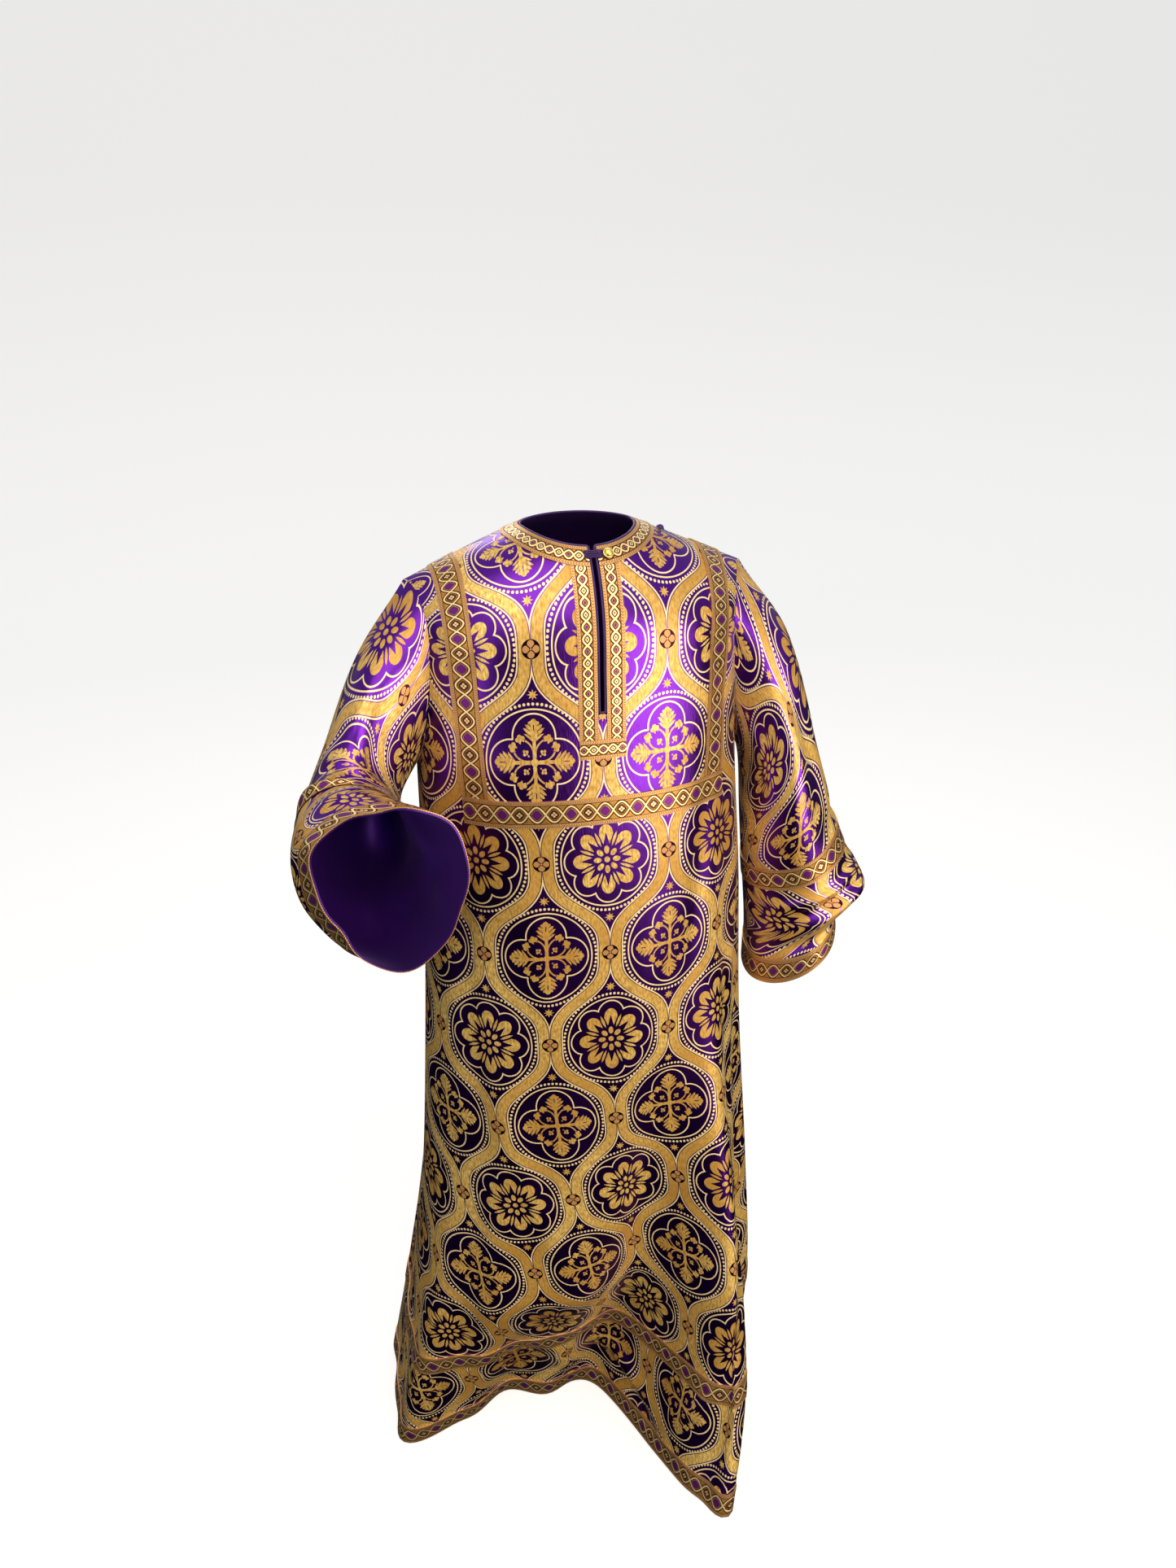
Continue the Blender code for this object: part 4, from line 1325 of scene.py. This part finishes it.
def brass_look():
    """Polished brass with fine scratches and a darker tone in random patches."""
    material, tree, shader = new_look("brass")
    coords = object_place(tree)
    wear = noise(tree, coords, *BRASS_WEAR)
    fine = noise(tree, coords, *BRASS_SCRATCHES)
    feed(
        tree, shader, Base_Color=layered(BRASS_DEEP, (BRASS, wear)),
        Roughness=stretched(wear, *BRASS_ROUGH, limited=False), Metallic=1.0,
    )
    raised(tree, shader, fine, 0.12, 0.0002)
    return material


def thread_look():
    """Gold sewing thread."""
    material, tree, shader = new_look("thread")
    colour = layered(THREAD_DEEP, (THREAD, noise(tree, object_place(tree), *THREAD_TWIST)))
    feed(tree, shader, Base_Color=colour, Roughness=0.5, Metallic=0.3)
    return material


def skin(rings, sides, closed=False, slip=0):
    """Faces round rings of corners, with flat ends or joined end to start with a slip."""
    faces = []
    for i in range(rings if closed else rings - 1):
        onward = (i + 1) % rings * sides
        shift = slip if i == rings - 1 else 0
        for k in range(sides):
            after = (k + 1) % sides
            far = (onward + (after + shift) % sides, onward + (k + shift) % sides)
            faces.append((i * sides + k, i * sides + after, *far))
    if not closed:
        faces.append(tuple(reversed(range(sides))))
        faces.append(tuple((rings - 1) * sides + k for k in range(sides)))
    return faces


def tube(path, radius, sides, closed):
    """Points and faces of a cord of even radius along a path."""
    if closed:
        run = unit(np.roll(path, -1, axis=0) - np.roll(path, 1, axis=0))
    else:
        run = unit(np.gradient(path, axis=0))
    side = np.cross(run[0], (0.0, 0.0, 1.0))
    firsts = []
    for way in run:
        side = unit(side - way * np.dot(side, way))
        firsts.append(side)
    firsts = np.array(firsts)[:, None]
    seconds = np.cross(run[:, None], firsts)
    turn = 2 * math.pi * np.arange(sides)[:, None] / sides
    corners = path[:, None] + radius * (np.cos(turn) * firsts + np.sin(turn) * seconds)
    slip = 0
    if closed:
        end = firsts[-1, 0] - run[0] * np.dot(firsts[-1, 0], run[0])
        angle = math.atan2(np.dot(end, seconds[0, 0]), np.dot(end, firsts[0, 0]))
        slip = round(angle / (2 * math.pi) * sides)
    return corners.reshape(-1, 3), skin(len(path), sides, closed, slip)


def solid_of(name, parts, look):
    """One object of several loose shapes."""
    corners = []
    faces = []
    for shape_corners, shape_faces in parts:
        first = len(corners)
        corners += [tuple(map(float, corner)) for corner in shape_corners]
        faces += [tuple(first + corner for corner in face) for face in shape_faces]
    mesh = bpy.data.meshes.new(name)
    mesh.from_pydata(corners, [], faces)
    mesh.validate()
    return finish(mesh, name, [look])


def make_piping(look):
    """Binding round the neckline and the slit, just clear of the cut edges."""
    clear = -(PIPING_RADIUS + SEAM_GAP)
    inner = SLIT_HALF + clear
    top = neck_arc("front", clear, slit_angle(clear, inner + PIPING_CORNER), 0, 33)
    foot = (inner, SLIT_END + clear - 0.001)
    side = line(foot, (inner, top[0][1] + PIPING_CORNER), PIPING_STEP)
    half = [(0.0, SLIT_END + clear), (inner * 0.7, SLIT_END + clear)] + side + top[:-1]
    back = neck_arc("back", clear, 0, math.pi, 54)
    raised_by = (BAND_TOP - CLOTH) / 2
    path = []
    for panel, flat in (("front", half), ("back", back), ("front", mirrored(half)[:-1])):
        points, normals = draped(panel, flat)
        path.append(points + normals * raised_by)
    shape = tube(np.vstack(path), PIPING_RADIUS, PIPING_SIDES, True)
    return piece(solid_of("neck_piping_cord", [shape], look), "neck_piping")


def turned(profile, sides, centre, normal):
    """Points and faces of a profile of (reach, rise) turned about a normal."""
    way = Vector(normal).to_track_quat("Z", "Y").to_matrix()
    corners = []
    for out, rise in profile:
        for k in range(sides):
            angle = 2 * math.pi * k / sides
            at = way @ Vector((out * math.cos(angle), out * math.sin(angle), rise))
            corners.append(Vector(centre) + at)
    return corners, skin(len(profile), sides)


def make_button(node, slot, place, base, stem, radius, height, looks):
    """A domed button with a rolled rim on a short shank, standing on the front."""
    profile = [(0.35 * radius, 0.0), (0.35 * radius, stem), (0.84 * radius, stem)]
    for angle in np.linspace(-math.pi / 2, math.pi / 2, 7):
        rise = height * (0.13 + 0.13 * math.sin(angle))
        profile.append((radius * (0.90 + 0.10 * math.cos(angle)), stem + rise))
    profile.append((radius * 0.84, stem + height * 0.20))
    for angle in np.linspace(0, math.pi / 2, 13)[1:-1]:
        rise = height * (0.20 + 0.80 * math.sin(angle))
        profile.append((radius * 0.80 * math.cos(angle), stem + rise))
    (point,), (normal,) = draped("front", [place])
    shape = turned(profile, BUTTON_SIDES, point + normal * base, normal)
    return piece(solid_of(f"{node}_dome", [shape], looks[slot]), node)


def make_loop(across, down, base, look):
    """Three cords side by side, sewn on beyond the slit and led round the button's shank."""
    cords = []
    for turn in LOOP_TURNS:
        bend = [
            (across + turn * math.sin(a), down - turn * math.cos(a))
            for a in np.linspace(0, math.pi, 17)
        ]
        start = line((across - LOOP_REACH, down - turn), (across - NEAR, down - turn), NEAR)
        end = [(x, 2 * down - y) for x, y in reversed(start)]
        points, normals = draped("front", start + bend + end)
        cords.append(tube(points + normals * base, LOOP_RADIUS * 0.85, 8, False))
    return piece(solid_of("button_loop_cords", cords, look), "button_loop")


def stitch(centre, way, normal):
    """A short raised stitch: a spindle of four sides."""
    way, normal = unit(way), unit(normal)
    side = np.cross(normal, way)
    corners = [centre - way * STITCH / 2]
    for along in (-0.25, 0.25):
        for out in (side, normal, -side, -normal):
            corners.append(centre + way * STITCH * along + out * STITCH_HALF)
    corners.append(centre + way * STITCH / 2)
    faces = []
    for k in range(4):
        after = (k + 1) % 4
        faces += [(0, 1 + after, 1 + k), (1 + k, 1 + after, 5 + after, 5 + k)]
        faces.append((5 + k, 5 + after, 9))
    return corners, faces


def sewing(name, shapes, look):
    """One object of the stitches on a piece."""
    obj = solid_of(name, shapes, look)
    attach(obj, "root")


def ring_stitches(ring, beside, normals):
    """Stitches all round a galloon's edge on a sleeve."""
    row = ring + unit(beside - ring) * STITCH_INSET + normals * STITCH_LIFT
    row = np.vstack([row, row[:1]])
    normals = np.vstack([normals, normals[:1]])
    run = run_along(row)
    places = np.arange(STITCH_PITCH / 2, run[-1] - STITCH_PITCH / 2, STITCH_PITCH)
    centres = read_at(places, run, row)
    ways = read_at(places + STITCH_PITCH / 4, run, row) - centres
    return list(map(stitch, centres, ways, read_at(places, run, normals)))


def edge_rows(side):
    """Flat lines just inside the long edges of every galloon piece of a panel."""
    rows = []
    for grow in (STITCH_INSET, NARROW - STITCH_INSET):
        if side == "front":
            arc = neck_arc(side, grow, 0.02, slit_angle(0, SLIT_HALF) - 0.02, 90)
            rows += [arc, mirrored(arc)]
            foot = SLIT_FOOT + BAND_JOIN + grow
            rows.append([(-SLIT_HALF - NARROW, foot), (SLIT_HALF + NARROW, foot)])
            start = NECK_DEPTH[side] + NARROW + END_INSET
            for across in (SLIT_HALF + grow, -SLIT_HALF - grow):
                rows.append([(across, start), (across, SLIT_FOOT)])
        else:
            rows.append(neck_arc(side, grow, 0.02, math.pi - 0.02, 180))
    for grow in (STITCH_INSET, WIDE - STITCH_INSET):
        yoke = [(YOKE_OUT_TOP - grow, END_INSET), (YOKE_OUT_CHEST - grow, CHEST_BAND - END_INSET)]
        rows += [yoke, mirrored(yoke)[::-1]]
        rows.append([(-YOKE_OUT_CHEST, CHEST_BAND + grow), (YOKE_OUT_CHEST, CHEST_BAND + grow)])
        for top in (SKIRT_BAND, LENGTH - WIDE):
            half = half_cut(side, top + grow) - END_INSET
            rows.append([(-half, top + grow), (half, top + grow)])
    return rows


def paced(row):
    """Places of the stitches along a flat line, and the way the line runs there."""
    row = np.array(row)
    run = run_along(row)
    places = np.arange(STITCH_PITCH / 2, run[-1], STITCH_PITCH)
    behind, points, ahead = (
        read_at(places + shift * STITCH_PITCH / 4, run, row) for shift in (-1, 0, 1)
    )
    return zip(points, ahead - behind)


def make_panel_stitches(side, sheet, look):
    """Rows of stitches that hold the galloon down on a panel."""
    flat, faces, points, normals = sheet
    tree = BVHTree.FromPolygons([(x, y, 0) for x, y in flat], faces.tolist())

    def on_sheet(place):
        face = tree.ray_cast(Vector((*place, 1)), Vector((0, 0, -1)))[2]
        if face is None:
            return None
        corners = faces[face]
        shares = np.linalg.solve(np.vstack([flat[corners].T, np.ones(3)]), (*place, 1))
        normal = unit(shares @ normals[corners])
        return shares @ points[corners] + normal * STITCH_LIFT, normal

    shapes = []
    for row in edge_rows(side):
        for place, way in paced(row):
            here, there = on_sheet(place), on_sheet(place + way * 0.3)
            if here and there:
                shapes.append(stitch(here[0], there[0] - here[0], here[1]))
    sewing(f"{side}_stitches", shapes, look)


def make_camera():
    """The camera at the photograph's place and angle."""
    data = bpy.data.cameras.new("camera")
    data.sensor_width = 36
    data.lens = CAMERA_LENS
    data.clip_start = 0.05
    camera = shown("camera", data)
    camera.location = CAMERA_PLACE
    camera.rotation_euler = [math.radians(angle) for angle in CAMERA_TURN]
    bpy.context.scene.camera = camera


def make_light(name, place, target, size, power, colour):
    """A square soft light aimed at a point."""
    data = bpy.data.lights.new(name, "AREA")
    data.size = size
    data.energy = power
    data.color = colour
    lamp = shown(name, data)
    lamp.location = place
    lamp.rotation_euler = (Vector(target) - Vector(place)).to_track_quat("-Z", "Y").to_euler()


def make_room(lowest):
    """A pale floor that turns up into a backdrop, and a pale soft sky."""
    profile = [(ROOM_FRONT, 0.0)]
    for angle in np.linspace(0, math.pi / 2, 13):
        rise = ROOM_BEND - ROOM_BEND * math.cos(angle)
        profile.append((ROOM_BACK + ROOM_BEND * math.sin(angle), rise))
    profile.append((ROOM_BACK + ROOM_BEND, ROOM_TOP))
    corners = [(x, y, lowest + z) for y, z in profile for x in (-ROOM_HALF, ROOM_HALF)]
    faces = [(2 * i, 2 * i + 1, 2 * i + 3, 2 * i + 2) for i in range(len(profile) - 1)]
    mesh = bpy.data.meshes.new("floor")
    mesh.from_pydata(corners, [], faces)
    mesh.shade_smooth()
    floor = shown("floor", mesh)
    material, tree, shader = new_look("floor")
    feed(
        tree, shader, Base_Color=FLOOR_GREY, Roughness=0.9, Specular_IOR_Level=0.1,
        Emission_Color=WHITE, Emission_Strength=FLOOR_GLOW,
    )
    mesh.materials.append(material)
    floor.visible_diffuse = False
    floor.visible_glossy = False
    world = bpy.data.worlds.new("sky")
    world.use_nodes = True
    tree = world.node_tree
    background = tree.nodes["Background"]
    background.inputs[0].default_value = WHITE
    direction = Amount(tree, fed(tree, "TexCoord").outputs["Generated"])
    height = Amount(tree, fed(tree, "SeparateXYZ", direction).outputs[2])
    light = stretched(height, *SKY_RISE)
    light = light * light * (SKY - SKY_BELOW)
    seen = Amount(tree, fed(tree, "LightPath").outputs["Is Camera Ray"])
    put(tree, either(seen, BACKDROP, light + SKY_BELOW), background.inputs[1])
    bpy.context.scene.world = world
    bpy.context.scene.view_settings.view_transform = "Standard"


def main():
    """The whole garment, its camera and its lights."""
    make_camera()
    looks = {
        "brocade": brocade_look(),
        "wide_galloon": galloon_look("wide_galloon", WIDE, WIDE_EYE, WIDE_ROPE),
        "narrow_galloon": galloon_look("narrow_galloon", NARROW, NARROW_EYE, NARROW_ROPE),
        "lining": satin_look("lining", LINING, LINING_DEEP, 0.34, 0.7),
        "binding": satin_look("binding", BINDING, BINDING_DEEP, 0.5, 0.2),
        "brass": brass_look(),
        "thread": thread_look(),
    }
    for side in ("front", "back"):
        panel, bands, sheet = make_panel(side, looks)
        make_panel_stitches(side, sheet, looks["thread"])
        flat, faces = sheet[:2]
        width = 2 * float(np.abs(flat[:, 0]).max())
        flat_area(flat, faces)
        for obj, chosen in bands:
            spread = flat[np.unique(chosen)]
            width, length = (spread.max(axis=0) - spread.min(axis=0)).tolist()
            flat_area(flat, chosen)
    for hand in ("left", "right"):
        (sleeve, (width, length, area)), bands = make_sleeve(hand, looks)
    make_piping(looks["binding"])
    base = BAND_TOP + SEAM_GAP
    make_button("neck_button", "brass", NECK_BUTTON, base, NECK_BUTTON_STEM,
                NECK_BUTTON_RADIUS, NECK_BUTTON_HEIGHT, looks)
    make_loop(*NECK_BUTTON, base + LOOP_RADIUS, looks["binding"])
    make_button("shoulder_button", "binding", SHOULDER_BUTTON, SHOULDER_BUTTON_BASE,
                SHOULDER_BUTTON_STEM, SHOULDER_BUTTON_RADIUS, SHOULDER_BUTTON_HEIGHT, looks)
    make_room(solid_box[0][2] - FLOOR_CLEAR)
    for light in LIGHTS:
        make_light(*light)


main()
